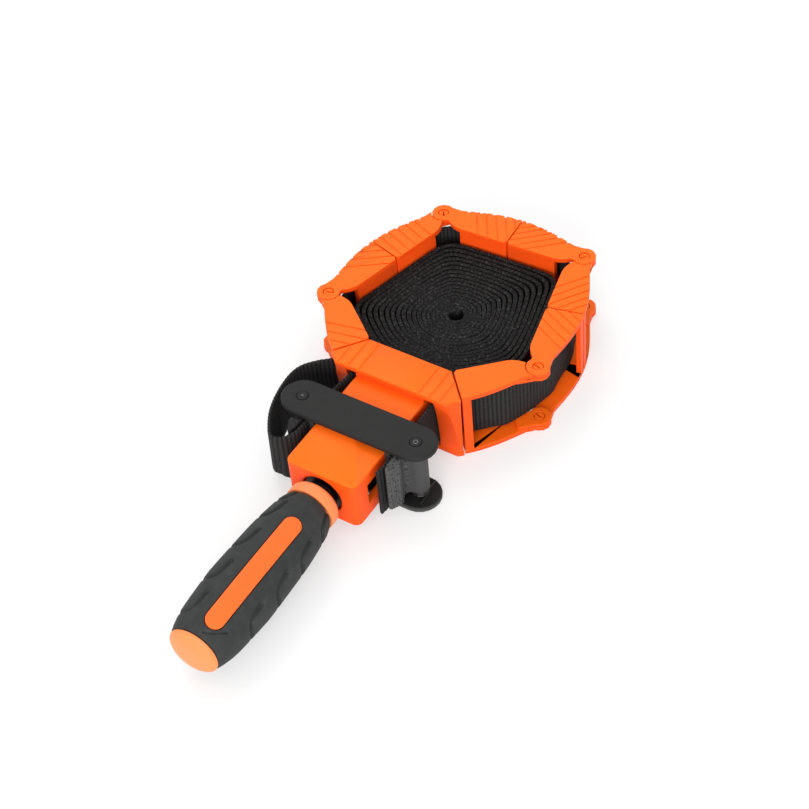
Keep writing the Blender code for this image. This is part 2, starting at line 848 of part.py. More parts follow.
def lever_outline(side):
    """A round hub, a cam lobe that presses on the belt, and a flared tail with thumb ribs."""
    hub = arc(LEVER_HUB, -95, 110, 13)
    cam = [
        (-LEVER_CAM * 0.62, LEVER_CAM * 0.71),
        (-LEVER_CAM * 0.855, LEVER_CAM * 0.49),
        (-LEVER_CAM * 0.99, LEVER_CAM * 0.11),
    ]
    tail = [
        (-LEVER_CAM, -3.0),
        (-LEVER_CAM + 0.35, 2.6 - LEVER_TAIL),
        (-LEVER_CAM + 0.8, 0.8 - LEVER_TAIL),
        (-LEVER_CAM + 1.3, -LEVER_TAIL),
        (-LEVER_CAM + 2.1, 0.2 - LEVER_TAIL),
    ]
    start = Vector(tail[-1])
    end = Vector((-0.9, 4.8 - LEVER_TAIL))
    along = end - start
    out = Vector((along.y, -along.x)).normalized()
    ribs = []
    for index in range(LEVER_TEETH):
        ribs.append(tuple(start + along * (index + 0.5) / LEVER_TEETH + out * 0.4))
        ribs.append(tuple(start + along * (index + 0.95) / LEVER_TEETH))
    hollow = [
        (-1.0, 6.0 - LEVER_TAIL),
        (-1.8, 7.4 - LEVER_TAIL),
        (-2.5, 8.9 - LEVER_TAIL),
        (-2.5, 10.4 - LEVER_TAIL),
        (-1.7, 11.5 - LEVER_TAIL),
    ]
    return [(side * x, y) for x, y in hub + cam + tail + ribs + hollow]


def lever_frame(name, side, frame):
    return empty(name, (side * PLATE_REACH, 0.0, 0.0), parent=frame)


def cam_lever(name, side, frame):
    high = HEIGHT - PLATE_LOW - PLATE_THICK - GAP
    bore = arc(LEVER_PIN + GAP, 0, 337.5, 16)
    made = plate(name, lever_outline(side), LEVER_LOW, high, 0.0, [bore])
    return keep(made, GREY, 0.55, parent=frame)


def lever_pin(name, side, frame):
    made = rod(name, LEVER_PIN, PLATE_LOW + 0.1, HEIGHT - PLATE_LOW - 0.1, 0.3)
    made.location = (side * PLATE_REACH * MM, 0.0, 0.0)
    return keep(made, STEEL, 0.35, 1.0, parent=frame)


def lever_spring(name, side, frame):
    """A torsion spring round the pin, with one leg out to the front and one to the rear."""
    low = PLATE_LOW + PLATE_THICK + GAP + SPRING_WIRE
    high = LEVER_LOW - GAP - SPRING_WIRE
    steps = 10 * SPRING_TURNS
    coil = []
    for index in range(steps + 1):
        angle = side * 2 * math.pi * index / 10
        coil.append(
            (
                side * SPRING_RADIUS * math.cos(angle),
                side * SPRING_RADIUS * math.sin(angle),
                low + (high - low) * index / steps,
            )
        )
    legs = ((side * SPRING_RADIUS, -6.0, low), (side * SPRING_RADIUS, 6.0, high))
    made = wire(name, [legs[0], *coil, legs[1]], SPRING_WIRE)
    made.location = (side * PLATE_REACH * MM, 0.0, 0.0)
    return keep(made, STEEL, 0.3, 1.0, parent=frame)


def yoke():
    frame = yoke_frame()
    yoke_plate("yoke_plate_bottom", PLATE_LOW, frame)
    yoke_plate("yoke_plate_top", HEIGHT - PLATE_LOW - PLATE_THICK, frame)
    nut_block(frame)
    drive_nut(frame)
    for word, side in (("left", -1), ("right", 1)):
        pivot = lever_frame(f"lever_frame_{word}", side, frame)
        cam_lever(f"cam_lever_{word}", side, pivot)
        lever_pin(f"lever_pin_{word}", side, frame)
        lever_spring(f"lever_spring_{word}", side, frame)


# Screw and handle, made about Z with heights that run backwards


def grip_radius(back):
    """The grip's outer radius at a distance behind the head's middle."""
    stations = (
        (GRIP_FRONT, 10.2),
        (GRIP_FRONT + 3.0, 11.5),
        (GRIP_FRONT + 7.2, 12.3),
        (GRIP_FRONT + 20.0, 13.7),
        (GRIP_FRONT + 35.0, 14.3),
        (GRIP_FRONT + 46.0, 14.6),
        (GRIP_REAR - 26.0, 14.3),
        (GRIP_REAR - 11.0, 13.5),
        (GRIP_REAR - 4.0, 12.2),
        (GRIP_REAR, 10.9),
    )
    for (low, start), (high, end) in zip(stations, stations[1:]):
        if back <= high:
            return start + (end - start) * max(back - low, 0.0) / (high - low)
    return stations[-1][1]


def grip_profile(extra=0.0):
    """(radius, height) from the rear of the grip to its front."""
    count = 11
    heights = [GRIP_REAR - GRIP_LENGTH * index / count for index in range(count + 1)]
    return [(grip_radius(height) + extra, height) for height in heights]


def inlay_window(name, clearance):
    """A long round-ended bar through the grip from top to bottom."""
    radius = INLAY_WIDTH / 2 + clearance
    outline = stadium(INLAY_LENGTH / 2 - INLAY_WIDTH / 2, radius, 9)
    middle = INLAY_FRONT + INLAY_LENGTH / 2
    bar = plate(name, [(y, x + middle) for x, y in outline], -20.0, 20.0)
    bar.rotation_euler = (math.pi / 2, 0.0, 0.0)
    return bar


def spindle(frame):
    wall = -BOX_REAR - BOX_REAR_WALL
    groove = (wall - 0.15, wall - 1.25)
    profile = [
        (0.0, SCREW_REAR),
        (SCREW_RADIUS - 0.5, SCREW_REAR),
        (SCREW_RADIUS, SCREW_REAR - 0.5),
        (SCREW_RADIUS, groove[0]),
        (SCREW_RADIUS - 0.7, groove[0]),
        (SCREW_RADIUS - 0.7, groove[1]),
        (SCREW_RADIUS, groove[1]),
        (SCREW_RADIUS, SCREW_FRONT + 1.0),
        (SCREW_RADIUS - 1.0, SCREW_FRONT),
        (0.0, SCREW_FRONT),
    ]
    return keep(turned("spindle", profile), STEEL, 0.3, 1.0, parent=frame)


def handle_core(frame):
    """Hub, collar and tang, with two long inlays that stand in the grip's windows."""
    bore = SCREW_RADIUS + GAP
    end = GRIP_REAR - 4.0
    profile = [
        (0.0, end),
        (TANG_RADIUS - 0.5, end),
        (TANG_RADIUS, end - 0.5),
        (TANG_RADIUS, COLLAR_REAR),
        (COLLAR_RADIUS - 0.8, COLLAR_REAR),
        (COLLAR_RADIUS, COLLAR_REAR - 0.8),
        (COLLAR_RADIUS, COLLAR_FRONT + 1.2),
        (COLLAR_RADIUS - 1.2, COLLAR_FRONT),
        (HUB_RADIUS, COLLAR_FRONT),
        (HUB_RADIUS, HUB_FRONT),
        (bore, HUB_FRONT),
        (bore, SCREW_REAR + 0.5),
        (0.0, SCREW_REAR + 0.5),
    ]
    core = turned("handle_core", profile)
    inlay = inlay_window("handle_inlays", 0.0)
    swollen = [(0.0, GRIP_REAR), *grip_profile(INLAY_PROUD), (0.0, GRIP_FRONT)]
    limit = turned("inlay_limit", swollen)
    limit.rotation_euler = (-math.pi / 2, 0.0, 0.0)
    boolean(inlay, limit, "INTERSECT")
    fuse(core, inlay)
    rebore = rod("screw_rebore", bore, HUB_FRONT - 1.0, SCREW_REAR + 0.5, steps=ROUND_STEPS)
    cut(core, rebore)
    return keep(core, ORANGE_PALE, 0.4, parent=frame)


def tread_hook():
    """A hooked groove as (degrees from the inlay, share of the pitch), from below up to its tip."""
    return smooth(
        [
            (134.0, 0.12),
            (112.0, 0.05),
            (88.0, 0.0),
            (66.0, -0.02),
            (51.0, -0.12),
            (44.0, -0.32),
            (40.0, -0.58),
        ],
        2,
    )


def tread_cutters():
    """Hooked grooves down both sides of the grip. The two sides are staggered."""
    cutters_made = []
    for side, places in ((-1, TREADS_LEFT), (1, TREADS_RIGHT)):
        for place in places:
            points = []
            for degrees, share in tread_hook():
                back = GRIP_FRONT + place * GRIP_LENGTH + share * TREAD_PITCH
                angle = math.radians(degrees)
                radius = grip_radius(back) + 0.1
                points.append((side * radius * math.sin(angle), radius * math.cos(angle), back))
            cutters_made.append(wire("tread", points, TREAD_DEPTH))
    return joined("treads", cutters_made)


def handle_grip(frame):
    inner = TANG_RADIUS + GAP
    profile = grip_profile() + [(inner, GRIP_FRONT), (inner, GRIP_REAR)]
    grip = turned("handle_grip", profile, ring=True)
    cut(grip, inlay_window("grip_windows", GAP))
    cut(grip, tread_cutters())
    return keep(grip, BLACK, 0.6, parent=frame)


def handle_cap(frame):
    front = GRIP_REAR + GAP
    radius = 10.9
    stub = TANG_RADIUS - 0.1
    depth = 3.6
    profile = [
        (0.0, front + CAP_HEIGHT),
        (radius * 0.46, front + CAP_HEIGHT * 0.92),
        (radius * 0.79, front + CAP_HEIGHT * 0.64),
        (radius * 0.95, front + CAP_HEIGHT * 0.31),
        (radius, front),
        (stub, front),
        (stub, front - depth),
        (0.0, front - depth),
    ]
    return keep(turned("handle_cap", profile), ORANGE_PALE, 0.4, parent=frame)


def screw_bearings(handle):
    """The bushing stays in the housing. The washer and the clip turn with the screw."""
    recess = -BOX_REAR - RECESS_DEPTH
    inner = SCREW_RADIUS + GAP
    wall = -BOX_REAR - BOX_REAR_WALL
    profile = [
        (BUSH_FLANGE, recess + 1.0),
        (BUSH_FLANGE, recess + GAP),
        (BUSH_RADIUS, recess + GAP),
        (BUSH_RADIUS, wall),
        (inner, wall),
        (inner, recess + 1.0),
    ]
    bushing = on_screw_axis(turned("spindle_bushing", profile, ring=True))
    keep(bushing, STEEL, 0.35, 1.0)
    washer = tube("thrust_washer", 8.5, inner + 0.1, recess + 1.3, recess + 2.0)
    keep(washer, STEEL, 0.25, 1.0, parent=handle)
    clip = tube("retaining_clip", 6.6, SCREW_RADIUS - 0.4, wall - 1.05, wall - 0.35)
    keep(clip, STEEL, 0.3, 1.0, parent=handle)


def handle():
    frame = empty("handle_frame", (0.0, 0.0, MID_Z), (math.pi / 2, HANDLE_REST_TURN, 0.0))
    spindle(frame)
    handle_core(frame)
    handle_grip(frame)
    handle_cap(frame)
    screw_bearings(frame)


# Belt


def side_path(name, start, stop, bulge, count):
    """The belt in one leaf's channel, bowed outwards towards the seam."""
    leaf = LEAVES[name]
    points = []
    for index in range(count):
        along = start + (stop - start) * index / (count - 1)
        share = max((along - 14.0) / (LEAF_LENGTH - 14.0), 0.0)
        points.append(tuple(leaf.place(along, -1.0 - (bulge - 1.0) * share**1.5)))
    return points


def corner_path(name):
    """Where the belt turns the corner at this leaf's hinge, just inside the posts."""
    leaf = LEAVES[name]
    inward = Vector(COIL_MIDDLE) - leaf.hinge
    return [tuple(leaf.place(8.0, 1.6)), tuple(leaf.hinge + inward.normalized() * 5.0)]


def ring_path():
    """Once round the ring, from the right seam of the head to the left one."""
    path = side_path("leaf_head_right", LEAF_LENGTH - 1.0, 14.0, 1.4, 4)
    path += corner_path("leaf_head_right")
    pairs = (
        ("leaf_right_near", "leaf_right_far"),
        ("leaf_far_right", "leaf_far_left"),
        ("leaf_left_far", "leaf_left_near"),
    )
    for out, back in pairs:
        path.append(corner_path(out)[0])
        path += side_path(out, 14.0, LEAF_LENGTH - 3.0, 3.6, 4)
        path += side_path(back, LEAF_LENGTH - 3.0, 14.0, 3.6, 4)
        path += corner_path(back)
    path.append(corner_path("leaf_head_left")[0])
    path += side_path("leaf_head_left", 14.0, LEAF_LENGTH - 9.0, 1.4, 3)
    return smooth(path, 3)


def clamp_x():
    """The belt's middle between the anvil and the lever."""
    return (ANVIL_INNER + ANVIL_THICK + PLATE_REACH - LEVER_CAM) / 2


def right_strand_path():
    start = LEAVES["leaf_head_right"].place(LEAF_LENGTH - 0.6, -1.4)
    held = clamp_x()
    route = [tuple(start), (22.4, 1.1), (20.4, -1.1), (19.7, -4.2), (19.65, -9.0)]
    route += [(19.85, -17.0), (held, -24.0), (held, YOKE_Y - 5.5)]
    return smooth(route, 4)


def left_strand_path():
    """From the clamp through the left slot of the head and out between jaw and leaf."""
    held = -clamp_x()
    route = [(held, YOKE_Y + 0.2), (held, -25.0), (-19.6, -18.0), (-18.6, -9.0)]
    route += [(-18.4, -3.0), (-18.25, 3.0), (-18.3, 8.0)]
    return smooth(route, 4)


def loop_path():
    """Out round the leaf's bridge, back in a wide bow, and folded forward into the left clamp."""
    leaf = LEAVES["leaf_head_left"]
    held = -clamp_x()
    route = [leaf.place(LEAF_LENGTH - 8.7, -1.2), leaf.place(LEAF_LENGTH - 4.0, -1.3)]
    route = [tuple(point) for point in route]
    route += [(-26.5, 1.3), (-26.5, -0.6), (-28.2, -3.6), (-30.6, -5.9), (-34.2, -8.9)]
    route += [(-38.6, -14.4), (-40.0, -21.0), (-38.9, -31.0), (-36.0, -40.6), (-31.3, -48.8)]
    route += [(-27.8, -52.4), (-24.4, -51.9), (-21.9, -49.2), (-20.35, -45.0), (held, -39.8)]
    route += [(held, YOKE_Y - 0.2)]
    return smooth(route, 4)


def tail_path():
    held = clamp_x()
    return smooth([(held, YOKE_Y - 5.8), (held, -42.0), (held - 0.1, -46.0), (19.6, -49.0)], 3)


def coil_edge():
    """Distances from the coil's middle to the ring's inner faces, as (angle, distance)."""
    middle = Vector(COIL_MIDDLE)
    faces = []
    for name in ("leaf_head_right", "leaf_right_near", "leaf_far_left", "leaf_left_far"):
        leaf = LEAVES[name]
        foot = leaf.place(LEAF_LENGTH / 2, LEAF_INNER)
        out = (leaf.place(0.0, 0.0) - leaf.place(0.0, 1.0)).normalized()
        faces.append((math.atan2(out.y, out.x), (foot - middle).dot(out)))
    leaf = LEAVES["leaf_head_left"]
    foot = leaf.place(LEAF_LENGTH / 2, LEAF_INNER)
    out = (leaf.place(0.0, 0.0) - leaf.place(0.0, 1.0)).normalized()
    faces.append((math.atan2(out.y, out.x), (foot - middle).dot(out)))
    faces.append((-math.pi / 2, middle.y - JAW_FRONT))
    return [(angle, distance - COIL_GAP - BELT_THICK / 2) for angle, distance in faces]


def coil_radius(angle, faces):
    """A rounded polygon that touches none of the faces."""
    total = 0.0
    for normal, distance in faces:
        total += max(math.cos(angle - normal) / distance, 0.0) ** COIL_ROUNDING
    return total ** (-1 / COIL_ROUNDING)


def coil_path():
    """Turn by turn inwards, the polygon shrinks and rounds off to a circle."""
    faces = coil_edge()
    tightest = min(coil_radius(math.radians(a), faces) for a in range(360))
    start = math.radians(-128.0)
    path = []
    index = 0
    while True:
        turns = index / COIL_POINTS
        share = 1.0 - turns * COIL_PITCH / tightest
        if share * tightest < COIL_HEART:
            return path
        angle = start - 2 * math.pi * turns
        radius = share * tightest * (coil_radius(angle, faces) / tightest) ** share
        path.append(
            (
                COIL_MIDDLE[0] + radius * math.cos(angle),
                COIL_MIDDLE[1] + radius * math.sin(angle),
            )
        )
        index += 1


def sink(coil, path):
    """Lets the belt down from the head's height to the floor over its first stretch."""
    tree = KDTree(len(path))
    travelled = [0.0]
    for index, (x, y) in enumerate(path):
        tree.insert((x, y, 0.0), index)
        if index:
            step = math.dist(path[index - 1], path[index])
            travelled.append(travelled[-1] + step)
    tree.balance()
    for vertex in coil.data.vertices:
        index = tree.find((vertex.co.x / MM, vertex.co.y / MM, 0.0))[1]
        share = min(travelled[index] / COIL_DROP_LENGTH, 1.0)
        vertex.co.z += (BELT_LOW - COIL_LOW) * (1 + math.cos(math.pi * share)) / 2 * MM


def belt_coil():
    """The spare belt, from where it leaves the head to its inner end."""
    path = coil_path()
    lead = smooth([(-18.3, 8.3), (-18.8, 10.4), (-20.6, 12.2), path[1], path[2]], 3)[:-3]
    path = lead + path[1:]
    coil = belt("band_coil", path, COIL_LOW)
    sink(coil, path)
    return coil


def webbing(name, path):
    return keep(belt(name, path), BLACK, 0.8)


def belts():
    webbing("band_ring", ring_path())
    webbing("band_strand_right", right_strand_path())
    webbing("band_strand_left", left_strand_path())
    webbing("band_loop", loop_path())
    webbing("band_tail", tail_path())
    keep(belt_coil(), BLACK, 0.8)


clear_scene()
parts = collection("band_clamp")
cutters = collection("cutters")
cutters.hide_render = True
housing()
corner_ring()
yoke()
handle()
belts()
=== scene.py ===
# %% [markdown]
# # A band clamp with its belt coiled in the ring
#
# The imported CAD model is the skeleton: it holds every rigid piece at its true size. This lesson
# puts the looks on it. Moulded and pressed pieces get soft edges, the webbing is woven as a
# surface worked out with numpy, and every finish is a small tree of shader nodes.

# %% Frame
import json
import math

import bmesh
import bpy
import numpy as np
from mathutils import Matrix, Vector


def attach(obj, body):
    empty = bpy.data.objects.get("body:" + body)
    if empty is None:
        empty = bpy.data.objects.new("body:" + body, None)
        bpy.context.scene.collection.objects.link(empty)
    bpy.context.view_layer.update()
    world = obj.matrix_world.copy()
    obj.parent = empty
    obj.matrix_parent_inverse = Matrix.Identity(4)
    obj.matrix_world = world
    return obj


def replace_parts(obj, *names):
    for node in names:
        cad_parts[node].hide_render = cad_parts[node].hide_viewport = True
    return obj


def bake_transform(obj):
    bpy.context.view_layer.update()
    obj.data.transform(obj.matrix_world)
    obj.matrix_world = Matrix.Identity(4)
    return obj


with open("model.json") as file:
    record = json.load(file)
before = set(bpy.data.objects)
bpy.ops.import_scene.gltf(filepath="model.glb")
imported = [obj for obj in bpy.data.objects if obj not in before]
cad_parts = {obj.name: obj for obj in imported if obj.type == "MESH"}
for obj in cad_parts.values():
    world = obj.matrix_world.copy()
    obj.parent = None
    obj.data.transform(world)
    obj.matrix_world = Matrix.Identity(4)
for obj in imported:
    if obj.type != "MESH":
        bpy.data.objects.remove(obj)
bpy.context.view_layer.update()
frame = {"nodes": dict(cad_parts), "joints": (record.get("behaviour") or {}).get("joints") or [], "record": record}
nodes = frame["nodes"]
joints = {joint["name"]: joint for joint in frame["joints"]}

# %% [markdown]
# ## The view
#
# The photograph looks down on the clamp from behind its right side, with the picture rolled a
# little. The angles below came from matching points of the model to the same points in the photo.

# %% Camera
MM = 0.001
PICTURE = 809
AZIMUTH = math.radians(35.82)
ELEVATION = math.radians(46.52)
ROLL = math.radians(-5.67)
DISTANCE = 0.8139
LOOK_AT = Vector((0.00302, -0.00324, 0.016))
FOCAL_PIXELS = 1996.5
FILM = 36.0


def make_camera():
    """A camera on a sphere round LOOK_AT, rolled about its own line of sight."""
    back = Vector(
        (
            math.sin(AZIMUTH) * math.cos(ELEVATION),
            -math.cos(AZIMUTH) * math.cos(ELEVATION),
            math.sin(ELEVATION),
        )
    )
    right = Vector((math.cos(AZIMUTH), math.sin(AZIMUTH), 0.0))
    up = back.cross(right)
    rolled_right = right * math.cos(ROLL) + up * math.sin(ROLL)
    rolled_up = up * math.cos(ROLL) - right * math.sin(ROLL)
    data = bpy.data.cameras.new("photo_view")
    data.sensor_fit = "HORIZONTAL"
    data.sensor_width = FILM
    data.lens = FILM * FOCAL_PIXELS / PICTURE
    data.clip_start = 0.05
    data.clip_end = 20.0
    camera = bpy.data.objects.new("photo_view", data)
    bpy.context.scene.collection.objects.link(camera)
    turn = Matrix((rolled_right, rolled_up, back)).transposed().to_4x4()
    camera.matrix_world = Matrix.Translation(LOOK_AT + back * DISTANCE) @ turn
    bpy.context.scene.camera = camera


make_camera()
print("lens:", round(FILM * FOCAL_PIXELS / PICTURE, 2), "mm")

# %% [markdown]
# ## Shader maths as plain expressions
#
# Node trees are easier to read when they look like the formula they stand for. `Wire` wraps one
# socket, and adding or multiplying wires adds Math nodes. `Finish` holds one material, and its
# `node` method makes any other node from its type, its settings and the values of its sockets.


# %% Wires and finishes
class Wire:
    """One output socket. Arithmetic on it adds Math nodes to the same tree."""

    def __init__(self, finish, socket):
        self.finish = finish
        self.socket = socket

    def math(self, operation, *values):
        sockets = dict(enumerate(values))
        return self.finish.node("ShaderNodeMath", {"operation": operation}, sockets)

    def __add__(self, other):
        return self.math("ADD", self, other)

    __radd__ = __add__

    def __mul__(self, other):
        return self.math("MULTIPLY", self, other)

    __rmul__ = __mul__

    def __sub__(self, other):
        return self.math("SUBTRACT", self, other)

    def __rsub__(self, other):
        return self.math("SUBTRACT", other, self)

    def __pow__(self, other):
        return self.math("POWER", self, other)

    def __truediv__(self, other):
        return self.math("DIVIDE", self, other)

    def sine(self):
        return self.math("SINE", self)

    def size(self):
        return self.math("ABSOLUTE", self)

    def over(self, edge):
        return self.math("GREATER_THAN", self, edge)

    def larger(self, other):
        return self.math("MAXIMUM", self, other)

    def smaller(self, other):
        return self.math("MINIMUM", self, other)


class Finish:
    """A material whose Principled shader takes wires, numbers and colours by socket name."""

    def __init__(self, name, slot):
        self.slot = slot
        self.material = bpy.data.materials.new(name)
        self.material.use_nodes = True
        self.tree = self.material.node_tree
        self.shader = self.tree.nodes["Principled BSDF"]

    def plug(self, socket, value):
        if isinstance(value, Wire):
            self.tree.links.new(value.socket, socket)
        elif isinstance(value, tuple) and len(value) == 3 and len(socket.default_value) == 4:
            socket.default_value = (*value, 1.0)
        else:
            socket.default_value = value

    def node(self, kind, settings=None, sockets=None, out=0):
        made = self.tree.nodes.new(kind)
        for key, value in (settings or {}).items():
            setattr(made, key, value)
        for key, value in (sockets or {}).items():
            self.plug(made.inputs[key], value)
        return Wire(self, made.outputs[out])

    def place(self):
        return self.node("ShaderNodeTexCoord", out="Object")

    def noise(self, where, scale, detail, roughness=0.5):
        sockets = {"Vector": where, "Scale": scale, "Detail": detail, "Roughness": roughness}
        return self.node("ShaderNodeTexNoise", {}, sockets)

    def split(self, wire):
        made = self.tree.nodes.new("ShaderNodeSeparateXYZ")
        self.tree.links.new(wire.socket, made.inputs[0])
        return [Wire(self, output) for output in made.outputs]

    def mix(self, share, first, second):
        made = self.tree.nodes.new("ShaderNodeMix")
        made.data_type = "RGBA"
        colours = [socket for socket in made.inputs if socket.type == "RGBA"]
        self.plug(made.inputs[0], share)
        self.plug(colours[0], first)
        self.plug(colours[1], second)
        return Wire(self, [socket for socket in made.outputs if socket.type == "RGBA"][0])

    def bump(self, height, depth):
        sockets = {"Height": height, "Distance": depth, "Strength": 1.0}
        return self.node("ShaderNodeBump", {}, sockets)

    def fix(self, name, value):
        """A plain number or colour on a socket of the shader that keeps its exact name."""
        self.shader.inputs[name].default_value = value

    def set(self, **values):
        for name, value in values.items():
            self.plug(self.shader.inputs[name.replace("_", " ").title()], value)


def shade(colour, factor):
    return tuple(channel * factor for channel in colour)


# %% [markdown]
# ## Finishes
#
# Glass-filled nylon comes out of its mould with a faint grain and a satin face. Light goes a few
# millimetres into it and comes out redder, so the finish has some scattering under its surface. The
# colour shifts by a few hundredths over some centimetres, and the grain is a fine noise in the bump.
# The upright walls are painted a deeper red than the tops, as painted shade beyond what the
# lamps give, so the tint follows how far the surface faces up on the piece itself.

# %% Moulded orange
ORANGE = (1.0, 0.142, 0.006)
# The wall colour is painted shade: a deeper red laid on upright faces.
ORANGE_WALL_SHADE = (0.92, 0.082, 0.006)
ORANGE_INLAY = (1.0, 0.15, 0.026)
# A paler copy of the handle orange for the collar and cap: a painted highlight.
ORANGE_HIGHLIGHT = (0.86, 0.245, 0.085)


def moulded(name, slot, colour, wall, gloss, grain, depth):
    """Wall to top colour as 1.6 nz - 0.3 goes from 0 to 1. A slow noise takes 0 to 6 % off the top."""
    made = Finish(name, slot)
    where = made.place()
    slow = made.noise(where, 45.0, 2.0)
    fine = made.noise(where, 1900.0, 2.0, 0.6)
    facing_up = made.split(made.node("ShaderNodeTexCoord", out="Normal"))[2]
    # Painted shade: upright faces take the deeper wall colour, faces that look up take the top colour.
    share = (facing_up * 1.6 - 0.3).larger(0.0).smaller(1.0)
    made.set(
        base_color=made.mix(share, wall, made.mix(slow, shade(colour, 0.94), colour)),
        roughness=gloss + 0.12 * made.noise(where, 160.0, 4.0) - 0.06,
        normal=made.bump(fine, grain * MM),
    )
    made.fix("Specular IOR Level", 0.14)
    made.fix("Subsurface Weight", depth)
    made.fix("Subsurface Radius", (1.0, 0.2, 0.05))
    made.fix("Subsurface Scale", 0.004)
    return made


orange = moulded("orange_nylon", "orange_nylon", ORANGE, ORANGE_WALL_SHADE, 0.45, 0.02, 0.3)
inlay_orange = moulded(
    "handle_orange", "handle_orange", ORANGE_INLAY, shade(ORANGE_INLAY, 0.9), 0.4, 0.006, 0.2
)
# The paler copy is a painted highlight on the collar and the cap.
highlit_orange = moulded(
    "handle_highlit", "handle_orange", ORANGE_HIGHLIGHT, shade(ORANGE_HIGHLIGHT, 0.95), 0.38, 0.01, 0.2
)
print("moulded finishes ready")

# %% [markdown]
# The yoke plates are pressed steel under a dark satin powder coat, which has a slight orange-peel
# skin. The lower plate's upright rim is painted paler than its face: a painted highlight. The
# levers are castings in a lighter grey; the left one, deep in the loop, is painted darker as shade.
# Their paddles are pitted for the thumb. Such pits could be modelled, but at 1.6 mm across a bump
# and a colour from one cell pattern show them for far fewer faces; the pits' darker colour is
# painted shade. The hub round the pin is turned smooth and is darker.

# %% Coated metal
PLATE_GREY = (0.0145, 0.0143, 0.014)
LEVER_GREY = (0.05, 0.05, 0.05)
LEVER_X = 26.6
YOKE_Y = -31.0
SMOOTH_HUB = 4.7
HUB_FADE = 0.8


def powder_coat(name, rim_highlight):
    """Dark grey, times rim on upright faces as a painted highlight, with two noises for skin, one far finer."""
    made = Finish(name, "dark_plate")
    where = made.place()
    skin = made.noise(where, 900.0, 2.0) + 0.3 * made.noise(where, 5000.0, 1.0)
    flat = made.split(made.node("ShaderNodeTexCoord", out="Normal"))[2].size()
    face = made.mix(made.noise(where, 120.0, 3.0), shade(PLATE_GREY, 0.85), PLATE_GREY)
    made.set(
        base_color=made.mix(flat, shade(PLATE_GREY, rim_highlight), face),
        roughness=0.5 + 0.14 * made.noise(where, 300.0, 3.0),
        normal=made.bump(skin, 0.015 * MM),
    )
    made.fix("Specular IOR Level", 0.2)
    return made


def casting(name, grey, side=0):
    """Grey, with pits past the hub of the lever on side -1 or 1, darkened as painted shade. Side 0 has no pits."""
    made = Finish(name, "grey_casting")
    where = made.place()
    grain = made.noise(where, 1400.0, 4.0, 0.65)
    cells = {"Vector": where, "Scale": 620.0}
    wall = made.node("ShaderNodeTexVoronoi", {"feature": "DISTANCE_TO_EDGE"}, cells)
    x, y, _ = made.split(where)
    across = (x - side * LEVER_X * MM).size()
    from_pin = (across**2.0 + (y - YOKE_Y * MM).size() ** 2.0) ** 0.5
    past_hub = ((from_pin - SMOOTH_HUB * MM) / (HUB_FADE * MM)).larger(0.0).smaller(1.0)
    paddle = past_hub * abs(side)
    # The pits sink in the bump and are darkened in colour as painted shade.
    pit_depth_and_shade = (wall * 3.2).smaller(1.0) * paddle
    share = pit_depth_and_shade * 0.7 + (1.0 - paddle) * 0.45 + 0.25 * grain
    made.set(
        base_color=made.mix(share, shade(grey, 1.7), shade(grey, 0.2)),
        roughness=0.5 + 0.2 * grain,
        normal=made.bump(0.25 * grain - pit_depth_and_shade, 0.25 * MM),
    )
    made.fix("Specular IOR Level", 0.35)
    return made


dark_plate = powder_coat("dark_plate", 1.0)
# The lower plate's upright rim is painted 3.5 times brighter: a painted highlight.
rim_highlit_plate = powder_coat("rim_highlit_plate", 3.5)
grey_casting = casting("grey_casting", shade(LEVER_GREY, 0.7))
lever_finish = {
    # The left lever is the same casting painted far darker: painted shade inside the loop.
    "left": casting("shaded_casting", shade(LEVER_GREY, 0.16), -1),
    "right": casting("pitted_casting", LEVER_GREY, 1),
}
print("materials so far:", len(bpy.data.materials))

# %% [markdown]
# Turned steel carries fine rings from the lathe and scatters light along them. The rings could be
# grooves in the mesh, but they are far finer than its faces, so a wave across the axis goes into
# the bump. The drive nut is brass with the same rings. The springs, the bearing and the hub sit in
# shadow and are painted near-black as shade, and the rivets' lips have gone dull.


# %% Turned metal
def turned_metal(name, slot, colour, roughness, axis):
    """A bright metal with fine rings across the given axis."""
    made = Finish(name, slot)
    where = made.place()
    rings = made.node(
        "ShaderNodeTexWave",
        {"wave_type": "BANDS", "bands_direction": axis},
        {"Vector": where, "Scale": 1500.0, "Distortion": 0.6, "Detail": 1.0},
    )
    worn = made.noise(where, 350.0, 4.0)
    made.set(
        base_color=made.mix(worn, shade(colour, 0.75), colour),
        metallic=1.0,
        roughness=roughness + 0.15 * worn,
        normal=made.bump(rings, 0.01 * MM),
    )
    return made


steel = turned_metal("steel", "steel", (0.56, 0.56, 0.57), 0.25, "Y")
dull_steel = turned_metal("dull_steel", "steel", (0.17, 0.17, 0.17), 0.4, "Z")
# Near-black steel is painted shade, for pieces that sit in shadow.
shade_black_steel = turned_metal("shade_black_steel", "steel", (0.06, 0.058, 0.057), 0.32, "Z")
brass = turned_metal("nut_brass", "nut_brass", (0.62, 0.45, 0.2), 0.3, "Y")
print("materials so far:", len(bpy.data.materials))

# %% [markdown]
# The grip is a soft rubber over-moulding. It is charcoal, nearly matt and slightly dusty. The dust
# could be a painted image, but a noise to the third power needs none: it is low over most of the
# grip and rises in patches.


# %% Rubber
def soft_rubber():
    """Charcoal with a fine matt grain and a little pale dust."""
    made = Finish("grip_rubber", "grip_rubber")
    where = made.place()
    fine = made.noise(where, 2600.0, 3.0, 0.7)
    dust = made.noise(where, 260.0, 5.0) ** 3.0
    made.set(
        base_color=made.mix(dust, (0.018, 0.0195, 0.019), (0.052, 0.054, 0.053)),
        roughness=0.6 + 0.2 * fine,
        normal=made.bump(fine, 0.03 * MM),
    )
    made.fix("Specular IOR Level", 0.35)
    return made


rubber = soft_rubber()
print("nodes in the rubber:", len(rubber.tree.nodes))

